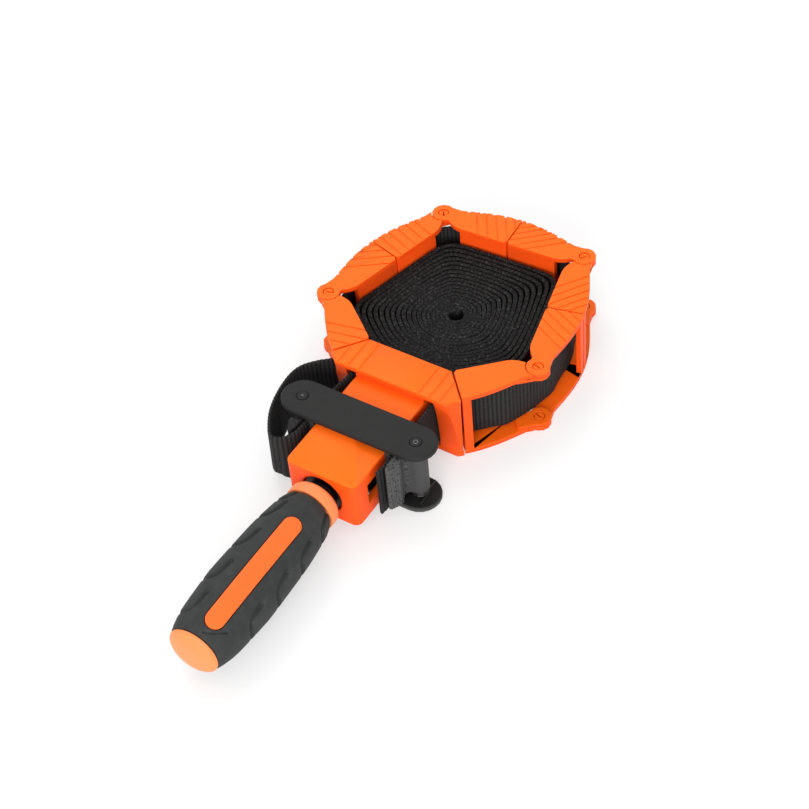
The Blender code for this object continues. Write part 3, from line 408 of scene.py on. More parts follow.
# %% [markdown]
# The webbing is woven polyester. Its cross threads stand up as ribs, which are real geometry
# below. The shader adds what is too small for the mesh: the long warp threads that dip between
# the ribs, with painted shade in the dips and a painted sheen on the crests, and the pale glints
# of single filaments, painted into the colour. It reads the strip's own UV map, in millimetres
# along and across the belt, so the weave follows every bend. The coil shows the belt's edge, the
# selvedge, which is darker and flecked with painted glints where the cross threads turn back.

# %% Webbing
RIB_PITCH = 1.8
WARP_PITCH = 0.62


def woven(name, low, high, glint_grey, glint_share):
    """Low to high by 0.85 |sin| along + 0.15 |sin| across, weave with painted shade, then pale flecks from a
    clipped noise as painted glints.
    """
    made = Finish(name, "webbing")
    along, across, _ = made.split(made.node("ShaderNodeUVMap", {"uv_map": "belt"}))
    wave = (along * (math.pi / RIB_PITCH)).sine()
    rib = wave.size()
    warp = (across * (math.pi / WARP_PITCH) + wave.over(0.0) * (math.pi / 2)).sine().size()
    where = made.place()
    fleck = (made.noise(where, 1300.0, 2.0, 0.75) - 0.53) * 8.0
    # The pale flecks are painted glints of single filaments.
    glint_flecks = fleck.larger(0.0).smaller(1.0) * made.noise(where, 300.0, 2.0) * glint_share
    # Painted shade in the dips between ribs and a painted sheen on their crests, over the weave.
    weave_and_shade = made.mix(rib * 0.85 + warp * 0.15, (low, low, low), (high, high, high))
    made.set(
        base_color=made.mix(glint_flecks, weave_and_shade, (glint_grey, glint_grey, glint_grey)),
        roughness=0.8 - 0.15 * warp,
        normal=made.bump(warp * 0.5 + rib * 0.6 + fleck * 0.2, 0.12 * MM),
    )
    made.fix("Specular IOR Level", 0.12)
    return made


webbing = woven("webbing", 0.002, 0.028, 0.07, 0.4)
selvedge = woven("selvedge", 0.0045, 0.008, 0.09, 0.9)
print("finishes:", len(bpy.data.materials))

# %% [markdown]
# ## Surfaces from numpy
#
# Every new piece is a grid of points computed as whole arrays. `skin` turns the grid into a mesh:
# it closes the grid round its second way and caps the two open ends.


# %% Grid to mesh
MERGE = 0.000002
SKIN_CREASE = math.radians(50.0)


def skin(name, grid, finish, body, uv=None, caps=(True, True)):
    """Quads between neighbours of an (n, m, 3) grid in millimetres, as one outward-facing mesh."""
    n, m = grid.shape[:2]
    i, j = np.meshgrid(np.arange(n - 1), np.arange(m), indexing="ij")
    i2, j2 = i + 1, (j + 1) % m
    corners = np.stack([i * m + j, i2 * m + j, i2 * m + j2, i * m + j2], axis=-1).reshape(-1, 4)
    ends = (list(range(m)), list(range((n - 1) * m, n * m))[::-1])
    faces = corners.tolist() + [end for end, wanted in zip(ends, caps) if wanted]
    mesh = bpy.data.meshes.new(name)
    mesh.from_pydata((grid.reshape(-1, 3) * MM).tolist(), [], faces)
    if uv is not None:
        layer = mesh.uv_layers.new(name="belt")
        index = np.empty(len(mesh.loops), np.int32)
        mesh.loops.foreach_get("vertex_index", index)
        layer.data.foreach_set("uv", uv.reshape(-1, 2)[index].ravel().astype(np.float32))
    work = bmesh.new()
    work.from_mesh(mesh)
    bmesh.ops.remove_doubles(work, verts=work.verts, dist=MERGE)
    bmesh.ops.recalc_face_normals(work, faces=work.faces)
    work.to_mesh(mesh)
    work.free()
    mesh.polygons.foreach_set("use_smooth", [True] * len(mesh.polygons))
    mesh.set_sharp_from_angle(angle=SKIN_CREASE)
    return put(name, mesh, finish, body)


def put(name, mesh, finish, body):
    """The mesh as a piece with a finish. It rides on a body, or stays fixed in the world for 'head to yoke'."""
    made = bpy.data.objects.new(name, mesh)
    bpy.context.scene.collection.objects.link(made)
    mesh.materials.clear()
    mesh.materials.append(finish.material)
    if body == "head to yoke":
        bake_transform(made)
    else:
        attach(made, body)
    return made


def smooth(points, each):
    """Catmull-Rom: 0.5 (2b + (c-a)t + (2a-5b+4c-d)t^2 + (3b-a-3c+d)t^3) between b and c."""
    p = np.asarray(points, float)
    p = np.vstack([2 * p[:1] - p[1:2], p, 2 * p[-1:] - p[-2:-1]])
    a, b, c, d = p[:-3], p[1:-2], p[2:-1], p[3:]
    t = np.linspace(0, 1, each, endpoint=False)[:, None, None]
    curve = 0.5 * (2 * b + (c - a) * t + (2 * a - 5 * b + 4 * c - d) * t**2)
    curve = curve + 0.5 * (3 * b - a - 3 * c + d) * t**3
    return np.vstack([curve.transpose(1, 0, 2).reshape(-1, p.shape[1]), p[-2:-1]])


def paced(path, step):
    """The same path with its points an even step apart, and each one's distance from the start."""
    gaps = np.hypot(*np.diff(path[:, :2], axis=0).T)
    reached = np.concatenate([[0.0], np.cumsum(gaps)])
    distance = np.linspace(0.0, reached[-1], max(int(reached[-1] / step), 8))
    return np.stack([np.interp(distance, reached, c) for c in path.T], axis=1), distance


# %% [markdown]
# ## Soft edges on the CAD pieces
#
# The CAD solids have knife edges, and real mouldings never do. The mouldings, plates, nut block
# and levers are copied. Each copy is merged, its flat triangles are dissolved into faces, and a
# narrow Bevel catches the light along the edges. The copy stands for the node on the same body.


# %% Eased copies
FLAT = math.radians(1.0)
ROUND = math.radians(32.0)
CAD_CREASE = math.radians(35.0)
BEVEL_FROM = math.radians(62.0)
NARROW = 0.9
EASE = 0.13
PLATE_EASE = 0.35
RIM_EASE = 0.55


def merged(node):
    """A CAD node's mesh with its points merged and its flat triangles made into whole faces."""
    work = bmesh.new()
    work.from_mesh(nodes[node].data)
    bmesh.ops.remove_doubles(work, verts=work.verts, dist=2 * MERGE)
    bmesh.ops.dissolve_limit(work, angle_limit=FLAT, verts=work.verts, edges=work.edges)
    return work


def round_only(work):
    """Smooth shading for narrow faces that turn slowly into a neighbour. Wide ones stay flat."""
    for face in work.faces:
        face.smooth = False
    for edge in work.edges:
        turn = edge.calc_face_angle(0.0)
        if FLAT < turn < ROUND:
            for face in edge.link_faces:
                face.smooth = face.calc_area() < NARROW * MM * face.calc_perimeter()


def eased(node, finish, body, width, segments=2):
    """A copy of a CAD node with its square edges rounded by width millimetres."""
    work = merged(node)
    round_only(work)
    mesh = bpy.data.meshes.new(f"{node}_eased")
    work.to_mesh(mesh)
    work.free()
    mesh.set_sharp_from_angle(angle=CAD_CREASE)
    made = put(f"{node}_eased", mesh, finish, body)
    bevel = made.modifiers.new("soft_edges", "BEVEL")
    bevel.width = width * MM
    bevel.segments = segments
    bevel.limit_method = "ANGLE"
    bevel.angle_limit = BEVEL_FROM
    bevel.use_clamp_overlap = False
    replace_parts(made, node)


body_of = {
    node: body
    for body, members in frame["record"]["behaviour"]["bodies"].items()
    for node in members
}
mouldings = sorted(node for node in nodes if node.startswith(("leaf_", "hinge_pin")))
for node in mouldings + ["housing"]:
    eased(node, orange, body_of[node], EASE)
eased("yoke_plate_top", dark_plate, "yoke", PLATE_EASE, 3)
eased("yoke_plate_bottom", rim_highlit_plate, "yoke", RIM_EASE, 3)
eased("nut_block", grey_casting, "yoke", EASE)
for side in ("left", "right"):
    eased(f"cam_lever_{side}", lever_finish[side], f"lever_{side}", EASE)
print("eased copies:", len(mouldings) + 6)


# %% [markdown]
# Bearings and springs are turned or wound steel and already have the right shape, so they keep
# their CAD mesh and only change their material.


# %% Steel pieces
def refinish(node, finish):
    """Gives a shown CAD node one of the finishes above."""
    mesh = nodes[node].data
    mesh.materials.clear()
    mesh.materials.append(finish.material)


# The springs under the plates and the bearing parts behind the collar sit in shadow and get near-black steel:
# painted shade.
shade_dark_pieces = ["lever_spring_left", "lever_spring_right"]
shade_dark_pieces += ["spindle_bushing", "thrust_washer", "retaining_clip"]
for node in shade_dark_pieces:
    refinish(node, shade_black_steel)
refinish("drive_nut", brass)
print("refinished:", len(shade_dark_pieces) + 1)

# %% [markdown]
# ## Turned pieces
#
# The rivets and the handle's hub, collar and cap are all turned about an axis. Blender's Screw
# modifier could sweep each profile. `turned` does it with one product of arrays, and a function
# puts the result on any axis: along the screw, or upright on a lever pin.

# %% Turned about an axis
SCREW_Z = 16.5
HANDLE_TURN = math.radians(24.0)


def on_screw(x, y, back):
    """The handle's own frame, turned by HANDLE_TURN about the screw; back runs to the rear."""
    c, s = math.cos(HANDLE_TURN), math.sin(HANDLE_TURN)
    return np.stack([x * c + y * s, -back, SCREW_Z - x * s + y * c], axis=-1)


def upright(side):
    return lambda x, y, z: np.stack([x + side * LEVER_X, y + YOKE_Y, z], axis=-1)


def turned(name, profile, finish, body, axis, steps=96):
    """(r cos a, r sin a, h) for every profile point and every angle a."""
    radius, height = np.asarray(profile, float).T
    angle = np.linspace(0.0, 2 * np.pi, steps, endpoint=False)
    x = radius[:, None] * np.cos(angle)
    y = radius[:, None] * np.sin(angle)
    return skin(name, axis(x, y, height[:, None] + 0 * x), finish, body)


def rounded(corners, radius):
    """A profile whose inner corners are cut back by radius and bridged by a quadratic curve."""
    p = np.asarray(corners, float)
    made = [p[:1]]
    t = np.linspace(0.0, 1.0, 5)[:, None]
    for a, b, c in zip(p, p[1:], p[2:]):
        back, on = a - b, c - b
        cut = min(radius, np.hypot(*back) * 0.45, np.hypot(*on) * 0.45)
        start = b + back / np.hypot(*back) * cut
        stop = b + on / np.hypot(*on) * cut
        made.append((1 - t) ** 2 * start + 2 * t * (1 - t) * b + t**2 * stop)
    return np.vstack(made + [p[-1:]])


PLATE_TOP = 32.7
RIVET_HEAD = 2.28
RIVET_SHANK = 2.0
RIVET_FOOT = 0.4
TIP = 0.05
rivet = [(TIP, PLATE_TOP), (RIVET_HEAD, PLATE_TOP), (RIVET_HEAD, 32.0), (RIVET_SHANK, 32.0)]
rivet += [(RIVET_SHANK, RIVET_FOOT), (TIP, RIVET_FOOT)]
for side, word, ring in ((-1, "left", 0.25), (1, "right", 0.8)):
    made = turned(f"rivet_{word}", rounded(rivet, 0.1), dark_plate, "yoke", upright(side), 48)
    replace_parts(made, f"lever_pin_{word}")
    lip = [(ring - 0.2, PLATE_TOP - 0.05), (ring, PLATE_TOP + 0.12)]
    lip += [(ring + 0.15, PLATE_TOP + 0.12), (ring + 0.3, PLATE_TOP - 0.05)]
    turned(f"rivet_lip_{word}", rounded(lip, 0.08), dull_steel, "yoke", upright(side), 48)
print("rivet heads:", 2 * RIVET_HEAD, "mm across")

# %% [markdown]
# The spindle has a rolled trapezoid thread of 3 mm lead. A Screw modifier could wind it, but the
# thread's ends would then need trimming. Here it is one surface, and the thread fades out by itself:
# the radius depends on the place along the helix, back - lead x angle / 2 pi, modulo the lead.

# %% Spindle
LEAD = 3.0
CREST = 4.0
THREAD_DEPTH = 0.65
THREAD_END = 52.0
ROOT_HALF = 0.13
FLANK = 0.12
POINT_DEPTH = 0.9
FINE_END = 56.0
SCREW_FRONT = 4.0
SCREW_REAR = 95.0


def spindle_surface():
    """r = CREST, less THREAD_DEPTH in the root, with flanks. ROOT_HALF, FLANK: shares of the lead."""
    back = np.linspace(SCREW_FRONT, FINE_END, 380)
    back = np.concatenate([back, [FINE_END + 0.5, 70.0, SCREW_REAR]])[:, None]
    angle = np.linspace(0.0, 2 * np.pi, 36, endpoint=False)[None, :]
    phase = np.mod(back - LEAD * angle / (2 * np.pi), LEAD) / LEAD
    ramp = np.clip((np.abs(phase - 0.5) - ROOT_HALF) / FLANK, 0.0, 1.0)
    thread = np.clip((THREAD_END - back) / 2.0, 0.0, 1.0)
    radius = CREST - THREAD_DEPTH * (1.0 - ramp) * thread
    radius = radius - POINT_DEPTH * np.clip(1.0 - (back - SCREW_FRONT), 0.0, 1.0)
    return on_screw(radius * np.sin(angle), radius * np.cos(angle), back + 0 * angle)


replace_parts(skin("threaded_spindle", spindle_surface(), steel, "handle"), "spindle")
print("turns of thread:", round((THREAD_END - SCREW_FRONT) / LEAD, 1))

# %% [markdown]
# ## The handle
#
# The grip swells towards the rear third of the hand. Hooked treads run up both sides: each starts
# under the hand, comes round the side, and turns to run along the inlay. Boolean cuts could make
# them, but often leave ragged shading on a soft surface. So the grip is one height field over
# (angle, distance back), and a tread lowers it near its own path.

# %% Grip
GRIP_FRONT = 69.6
GRIP_LENGTH = 76.0
GRIP_REAR = GRIP_FRONT + GRIP_LENGTH
INLAY_FRONT = GRIP_FRONT + 13.2
INLAY_LENGTH = GRIP_LENGTH - 18.0
INLAY_WIDTH = 7.8
TANG = 7.3
GRIP_EASE = 0.8
MEAN_RADIUS = 13.8
TREAD_PITCH = GRIP_LENGTH * 0.224
TREAD_DEPTH = 1.5
TREAD_HALF = 1.3
ARCH_DEPTH = 0.7
ARCH_HALF = 0.8
STEP_DEPTH = 1.1
STEP_WIDTH = 0.45
TREADS = {-1: (0.08, 0.222, 0.446, 0.683, 0.897), 1: (0.11, 0.321, 0.545, 0.768)}
HOOK = [(140, 0.14), (114, 0.05), (88, 0.0), (70, 0.02), (57, 0.0), (49, -0.1), (44, -0.27)]
HOOK += [(42, -0.5)]
SWELL = smooth(
    [
        (0.0, 10.2),
        (3.0, 11.4),
        (7.2, 12.3),
        (20.0, 13.7),
        (35.0, 14.3),
        (46.0, 14.6),
        (50.0, 14.5),
        (65.0, 13.5),
        (72.0, 12.2),
        (76.0, 10.9),
    ],
    8,
)


def grip_radius(back):
    return np.interp(back - GRIP_FRONT, SWELL[:, 0], SWELL[:, 1])


def distance_to_path(x, y, path):
    """The least distance from every point to the straight pieces of a path."""
    least = np.full(np.broadcast(x, y).shape, np.inf)
    for (ax, ay), (bx, by) in zip(path, path[1:]):
        length = (bx - ax) ** 2 + (by - ay) ** 2
        t = np.clip(((x - ax) * (bx - ax) + (y - ay) * (by - ay)) / length, 0.0, 1.0)
        least = np.minimum(least, np.hypot(x - ax - t * (bx - ax), y - ay - t * (by - ay)))
    return least


def beside_inlay(turn, back):
    """How far a point lies outside the inlay on its own side of the grip, along the surface."""
    near = np.where(np.abs(turn) < np.pi / 2, turn, np.abs(turn) - np.pi)
    across = near * grip_radius(back)
    front = INLAY_FRONT + INLAY_WIDTH / 2
    rear = INLAY_FRONT + INLAY_LENGTH - INLAY_WIDTH / 2
    return np.hypot(across, back - np.clip(back, front, rear)) - INLAY_WIDTH / 2


def grip_surface():
    """radius(back) - depth (1 - (d / half)^2)^0.8 near a tread - the step round the inlay."""
    ends = np.array([0.0, 0.08, 0.25, 0.5, 0.9])
    inner = np.linspace(1.4, GRIP_LENGTH - 1.4, 210)
    back = np.concatenate([ends, inner, GRIP_LENGTH - ends[::-1]]) + GRIP_FRONT
    turn = np.linspace(-np.pi, np.pi, 380, endpoint=False)[None, :]
    back = back[:, None]
    radius = grip_radius(back) + 0 * turn
    arc = MEAN_RADIUS * turn
    for side, places in TREADS.items():
        for place in places:
            hook = smooth(HOOK, 3)
            path = np.stack(
                [
                    side * MEAN_RADIUS * np.radians(hook[:, 0]),
                    GRIP_FRONT + place * GRIP_LENGTH + hook[:, 1] * TREAD_PITCH,
                ],
                axis=1,
            )
            d = distance_to_path(arc, back, path)
            radius -= TREAD_DEPTH * np.clip(1.0 - (d / TREAD_HALF) ** 2, 0.0, None) ** 0.8
    arch = smooth([(-2, GRIP_REAR - 2.4), (13, GRIP_REAR - 4.4), (30, GRIP_REAR - 8.0)], 6)
    arch = np.stack([MEAN_RADIUS * np.radians(arch[:, 0]), arch[:, 1]], axis=1)
    d = distance_to_path(arc, back, arch)
    radius -= ARCH_DEPTH * np.clip(1.0 - (d / ARCH_HALF) ** 2, 0.0, None) ** 2
    out = beside_inlay(turn, back)
    radius -= STEP_DEPTH * np.clip((STEP_WIDTH - out) / STEP_WIDTH, 0.0, 1.0) ** 1.5
    close = np.minimum(back - GRIP_FRONT, GRIP_REAR - back)
    away = 1.0 - np.clip(close / GRIP_EASE, 0.0, 1.0)
    radius -= GRIP_EASE * (1.0 - np.sqrt(1.0 - away**2))
    rows = np.concatenate([back[:1], back, back[-1:]])
    radius = np.vstack([0 * turn + TANG, radius, 0 * turn + TANG])
    return on_screw(radius * np.sin(turn), radius * np.cos(turn), rows + 0 * turn)


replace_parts(skin("tread_grip", grip_surface(), rubber, "handle"), "handle_grip")
print("treads:", sum(len(places) for places in TREADS.values()))

# %% [markdown]
# The two inlays are the handle's hard core showing through. A flat plate with a bevel would be
# simpler, but wouldn't follow the grip's swell. So each is a stack of shrinking rounded outlines,
# laid over the swell: the first ring goes down into the rubber, the next ones round the edge, and
# the last one closes on the middle line.

# %% Inlays, hub, collar and cap
def inlay_surface(half):
    """Ring k: the outline moved in by inset k and up by lift k, wrapped round the grip."""
    inset = np.array([0.0, 0.0, 0.06, 0.2, 0.5, 1.1, 2.0, 3.0, INLAY_WIDTH / 2])
    lift = np.array([-1.0, -0.1, 0.1, 0.22, 0.27, 0.28, 0.28, 0.28, 0.28])
    front = INLAY_FRONT + INLAY_WIDTH / 2
    rear = INLAY_FRONT + INLAY_LENGTH - INLAY_WIDTH / 2
    bend = np.linspace(0.0, np.pi, 21)
    run = np.linspace(0.0, 1.0, 42)[1:-1]
    side = np.concatenate([np.cos(bend), -1.0 + 0 * run, -np.cos(bend), 1.0 + 0 * run])
    ahead = np.concatenate([np.sin(bend), 0 * run, -np.sin(bend), 0 * run])
    there, back_again = rear + (front - rear) * run, front + (rear - front) * run
    middle = np.concatenate([rear + 0 * bend, there, front + 0 * bend, back_again])
    width = (INLAY_WIDTH / 2 - inset)[:, None]
    back = middle + width * ahead
    radius = grip_radius(back) + lift[:, None]
    turn = width * side / grip_radius(back) + half
    return on_screw(radius * np.sin(turn), radius * np.cos(turn), back)


for word, half in (("top", 0.0), ("bottom", np.pi)):
    skin(f"inlay_{word}", inlay_surface(half), inlay_orange, "handle", caps=(True, False))

HUB_FRONT = 59.3
HUB_REAR = 63.4
HUB_RADIUS = 6.2
BORE = 4.3
COLLAR_FRONT = 63.3
COLLAR_REAR = 69.3
COLLAR_RADIUS = 10.9
hub = [(BORE, HUB_FRONT), (HUB_RADIUS, HUB_FRONT), (HUB_RADIUS, HUB_REAR), (BORE, HUB_REAR)]
# The hub in the recess behind the collar is near-black: painted shade.
turned("screw_hub", rounded(hub, 0.3), shade_black_steel, "handle", on_screw)
# The collar and the cap take the paler orange, a painted highlight.
collar = [(6.25, COLLAR_FRONT), (9.6, COLLAR_FRONT), (COLLAR_RADIUS, 64.8)]
collar += [(COLLAR_RADIUS, COLLAR_REAR), (TANG, COLLAR_REAR), (TANG, 69.5)]
made = turned("collar", rounded(collar, 0.5), highlit_orange, "handle", on_screw)
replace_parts(made, "handle_core")
cap = [(TANG, GRIP_REAR + 0.1), (TANG, GRIP_REAR + 0.3), (10.9, GRIP_REAR + 0.3)]
cap += [(10.6, GRIP_REAR + 1.3), (8.9, GRIP_REAR + 2.6)]
cap += [(5.2, GRIP_REAR + 3.6), (0.1, GRIP_REAR + 3.9)]
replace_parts(turned("end_cap", rounded(cap, 0.9), highlit_orange, "handle", on_screw), "handle_cap")
print("handle ready")

# %% [markdown]
# ## The belt
#
# One length of 25 mm webbing. It runs round the ring through the leaves, is held at both sides by
# the cam levers, and its spare length lies coiled inside. The route is the same as in the CAD
# model: the ring's hinges come from the joints, and the free bends are listed points.

# %% Route values
BELT_WIDTH = 25.0
BELT_THICK = 1.4
BELT_LOW = 4.0
LEAF_SEAM = 0.6
LEAF_INNER = 6.5
JAW_FRONT = 8.5
STRAIGHT = 14.0
RING_BULGE = 3.6
HEAD_BULGE = 1.4
HINGE_INSET = 5.0
CLAMP_X = 20.15
COIL_MIDDLE = np.array([0.2, 43.0])


def hinge(corner):
    return np.array(joints[f"corner_{corner}_swing"]["pos_m"][:2]) / MM


NEAR_LEFT, FAR_LEFT = hinge("near_left"), hinge("far_left")
NEAR_RIGHT, FAR_RIGHT = hinge("near_right"), hinge("far_right")
LEAF_LENGTH = (np.linalg.norm(FAR_LEFT - NEAR_LEFT) - LEAF_SEAM) / 2
HEAD_LEAF_RIGHT = math.radians(43.0)
HEAD_LEAF_LEFT = math.radians(38.0)


class Leaf:
    """A leaf's own plan: (along, inward) from its hinge."""

    def __init__(self, origin, heading, hand):
        self.origin = origin
        self.way = np.array([math.cos(heading), math.sin(heading)])
        self.inner = np.array([-self.way[1], self.way[0]]) * hand

    def place(self, along, inward):
        return self.origin + np.outer(along, self.way) + np.outer(inward, self.inner)


def heading(start, end):
    return math.atan2(end[1] - start[1], end[0] - start[0])


leaf = {
    "head_left": Leaf(NEAR_LEFT, -HEAD_LEAF_LEFT, 1),
    "left_near": Leaf(NEAR_LEFT, heading(NEAR_LEFT, FAR_LEFT), -1),
    "left_far": Leaf(FAR_LEFT, heading(FAR_LEFT, NEAR_LEFT), 1),
    "far_left": Leaf(FAR_LEFT, heading(FAR_LEFT, FAR_RIGHT), -1),
    "far_right": Leaf(FAR_RIGHT, heading(FAR_RIGHT, FAR_LEFT), 1),
    "right_far": Leaf(FAR_RIGHT, heading(FAR_RIGHT, NEAR_RIGHT), -1),
    "right_near": Leaf(NEAR_RIGHT, heading(NEAR_RIGHT, FAR_RIGHT), 1),
    "head_right": Leaf(NEAR_RIGHT, math.pi + HEAD_LEAF_RIGHT, -1),
}
print("leaf length:", round(float(LEAF_LENGTH), 2), "mm")

# %% [markdown]
# The belt lies in a channel in every leaf. A drawn curve could show it, but each leaf here has its
# own plan instead: a point is given along and inward from a hinge, so the run follows the joints.


# %% Route round the ring
def channel(name, start, stop, bulge, count):
    """Inward place -1 - (bulge - 1) x share^1.5. The share grows from STRAIGHT to the seam."""
    along = np.linspace(start, stop, count)
    share = np.clip((along - STRAIGHT) / (LEAF_LENGTH - STRAIGHT), 0.0, None)
    return leaf[name].place(along, -1.0 - (bulge - 1.0) * share**1.5)


def corner(name):
    """Two points where the belt turns inside the hinge."""
    inward = COIL_MIDDLE - leaf[name].origin
    turn = leaf[name].origin + inward / np.linalg.norm(inward) * HINGE_INSET
    return np.vstack([leaf[name].place([8.0], [1.6]), turn])


def ring_route():
    parts = [channel("head_right", LEAF_LENGTH - 1.0, STRAIGHT, HEAD_BULGE, 4)]
    parts += [corner("head_right")]
    pairs = (("right_near", "right_far"), ("far_right", "far_left"), ("left_far", "left_near"))
    for out, back in pairs:
        parts += [
            corner(out)[:1],
            channel(out, STRAIGHT, LEAF_LENGTH - 3.0, RING_BULGE, 4),
            channel(back, LEAF_LENGTH - 3.0, STRAIGHT, RING_BULGE, 4),
            corner(back),
        ]
    parts += [corner("head_left")[:1]]
    parts += [channel("head_left", STRAIGHT, LEAF_LENGTH - 9.0, HEAD_BULGE, 3)]
    return np.vstack(parts)


def right_route():
    start = leaf["head_right"].place([LEAF_LENGTH - 0.6], [-1.4])
    bends = [(22.4, 1.1), (20.4, -1.1), (19.7, -4.2), (19.65, -9.0), (19.85, -17.0)]
    return np.vstack([start, bends, [(CLAMP_X, -24.0), (CLAMP_X, YOKE_Y - 5.5)]])


def left_route():
    return np.array(
        [
            (-CLAMP_X, YOKE_Y + 0.2),
            (-CLAMP_X, -25.0),
            (-19.6, -18.0),
            (-18.6, -9.0),
            (-18.4, -3.0),
            (-18.25, 3.0),
            (-18.3, 8.0),
        ]
    )


def loop_route():
    start = leaf["head_left"].place([LEAF_LENGTH - 8.7, LEAF_LENGTH - 4.0], [-1.2, -1.3])
    bends = [(-26.5, 1.3), (-26.5, -0.6), (-28.2, -3.6), (-30.6, -5.9), (-34.2, -8.9)]
    bends += [(-38.6, -14.4), (-40.0, -21.0), (-38.9, -31.0), (-36.0, -40.6), (-31.3, -48.8)]
    bends += [(-27.8, -52.4), (-24.4, -51.9), (-21.9, -49.2), (-20.35, -45.0)]
    return np.vstack([start, bends, [(-CLAMP_X, -39.8), (-CLAMP_X, YOKE_Y - 0.2)]])


def tail_route():
    return np.array(
        [(CLAMP_X, YOKE_Y - 5.8), (CLAMP_X, -42.0), (CLAMP_X - 0.1, -46.0), (19.6, -49.0)]
    )


# %% [markdown]
# The belt's section is a flat strip with rounded selvedges. Carried along the route, its
# thickness swells and sinks once for each cross thread, and its edges pucker with it. That gives
# the ribs a real outline where the light grazes them. A curve with a bevel could carry a plain
# strip, but couldn't swell its thickness alone. A weave below is the step along the route, the
# thickness, the share of it that a rib swells, and the rounding of the selvedge.


# %% Woven strip
BELT_WEAVE = (0.3, BELT_THICK, 0.2, 0.045)
PUCKER = 0.18
LOOP_LEAN = (-2.5, 2.2)
LEAN_Y = -34.0
LEAN_X = -22.5
ROUTE_POINTS = 12


def section(rounding):
    """(across thickness, across width) in -1..1 round the strip, with rounded selvedges."""
    turn = np.radians(np.array([-80, -40, 0, 40, 80]))
    edge = np.stack([np.sin(turn), np.cos(turn)], axis=1)
    flats = np.array([[1.0, 0.55], [1.0, 0.0], [1.0, -0.55]])
    top = np.stack([edge[:, 0], 1.0 - rounding * (1.0 - edge[:, 1])], axis=1)
    return np.vstack([top, flats, -top, -flats])


def carried(name, route, body, finish, weave, heights=None, lean=None):
    """Section x (thickness (1 - swell (1 - rib(s))), width - 2 PUCKER (1 - rib(s))) on the route."""
    step, thickness, swell, rounding = weave
    path, s = paced(route, step)
    tangent = np.gradient(path[:, :2], axis=0)
    tangent /= np.linalg.norm(tangent, axis=1)[:, None]
    side = np.stack([-tangent[:, 1], tangent[:, 0]], axis=1)
    rib = np.abs(np.sin(np.pi * s / RIB_PITCH))
    thick = thickness / 2 * (1.0 - swell + swell * rib)
    half_width = BELT_WIDTH / 2 - PUCKER * (1 - rib)
    middle = np.full(len(s), BELT_LOW + BELT_WIDTH / 2)
    if heights is not None:
        middle = heights(path, s)
    shape = section(rounding)
    grid = np.empty((len(s), len(shape), 3))
    offset = thick[:, None] * shape[:, 0]
    grid[..., :2] = path[:, None, :2] + side[:, None] * offset[..., None]
    if lean is not None:
        grid[..., :2] += lean(path)[:, None] * (0.5 - shape[:, 1] / 2)[None, :, None]
    grid[..., 2] = middle[:, None] + half_width[:, None] * shape[:, 1]
    uv = np.empty((len(s), len(shape), 2))
    uv[..., 0] = s[:, None]
    uv[..., 1] = shape[:, 1] * BELT_WIDTH / 2
    made = skin(name, grid, finish, body, uv=uv)
    print(f"{name}: {s[-1]:.0f} mm of belt")
    return made, s[-1]


def loop_lean(path):
    """The loop's lower edge stands out by up to 3.3 mm round the rear bend, where it is free."""
    behind = np.clip((LEAN_Y - path[:, 1]) / 10.0, 0.0, 1.0)
    beside = np.clip((LEAN_X - path[:, 0]) / 3.0, 0.0, 1.0)
    return (behind * beside)[:, None] * np.array(LOOP_LEAN)


length = {}
for name, route, body, lean in (
    ("ring", ring_route(), "head", None),
    ("strand_right", right_route(), "head to yoke", None),
    ("strand_left", left_route(), "head to yoke", None),
    ("loop", loop_route(), "head to yoke", loop_lean),
    ("tail", tail_route(), "yoke", None),
):
    path = smooth(route, ROUTE_POINTS)
    made, length[name] = carried(f"belt_{name}", path, body, webbing, BELT_WEAVE, lean=lean)
    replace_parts(made, f"band_{name}")

# %% [markdown]
# ## The coil of spare belt
#
# The coil fills the ring. A plain spiral would be simpler, but would leave the ring's corners
# empty. So the outer turn is a rounded polygon just inside the leaves, and each turn inwards is
# smaller and rounder. A power mean of the distances to the six faces rounds the polygon's corners:
# r = (sum of (cos(angle - face) / distance)^13)^(-1/13).
# The turns lie close, and each one is a little fuller here than the bare belt.

# %% Coil
COIL_PITCH = 1.72
COIL_GAP = 0.8
COIL_HEART = 3.0
COIL_ROUNDING = 13.0
COIL_THICK = 1.72
COIL_WEAVE = (0.45, COIL_THICK, 0.05, 0.008)
COIL_START = math.radians(-128.0)
COIL_POINTS = 90
COIL_DROP_LENGTH = 45.0
COIL_LOW = 0.3
COIL_STAND = 0.4


def faces_round_coil():
    """Angle and distance of the ring's six inner faces, seen from the coil's middle."""
    found = []
    for name in ("head_right", "right_near", "far_left", "left_far", "head_left"):
        foot = leaf[name].place([LEAF_LENGTH / 2], [LEAF_INNER])[0]
        out = -leaf[name].inner
        found.append((math.atan2(out[1], out[0]), float((foot - COIL_MIDDLE) @ out)))
    found.append((-math.pi / 2, COIL_MIDDLE[1] - JAW_FRONT))
    angles, distances = np.array(found).T
    return angles, distances - COIL_GAP - BELT_THICK / 2


def coil_radius(angle):
    normal, distance = faces_round_coil()
    pull = np.clip(np.cos(angle[:, None] - normal) / distance, 0.0, None)
    return (pull**COIL_ROUNDING).sum(axis=1) ** (-1 / COIL_ROUNDING)


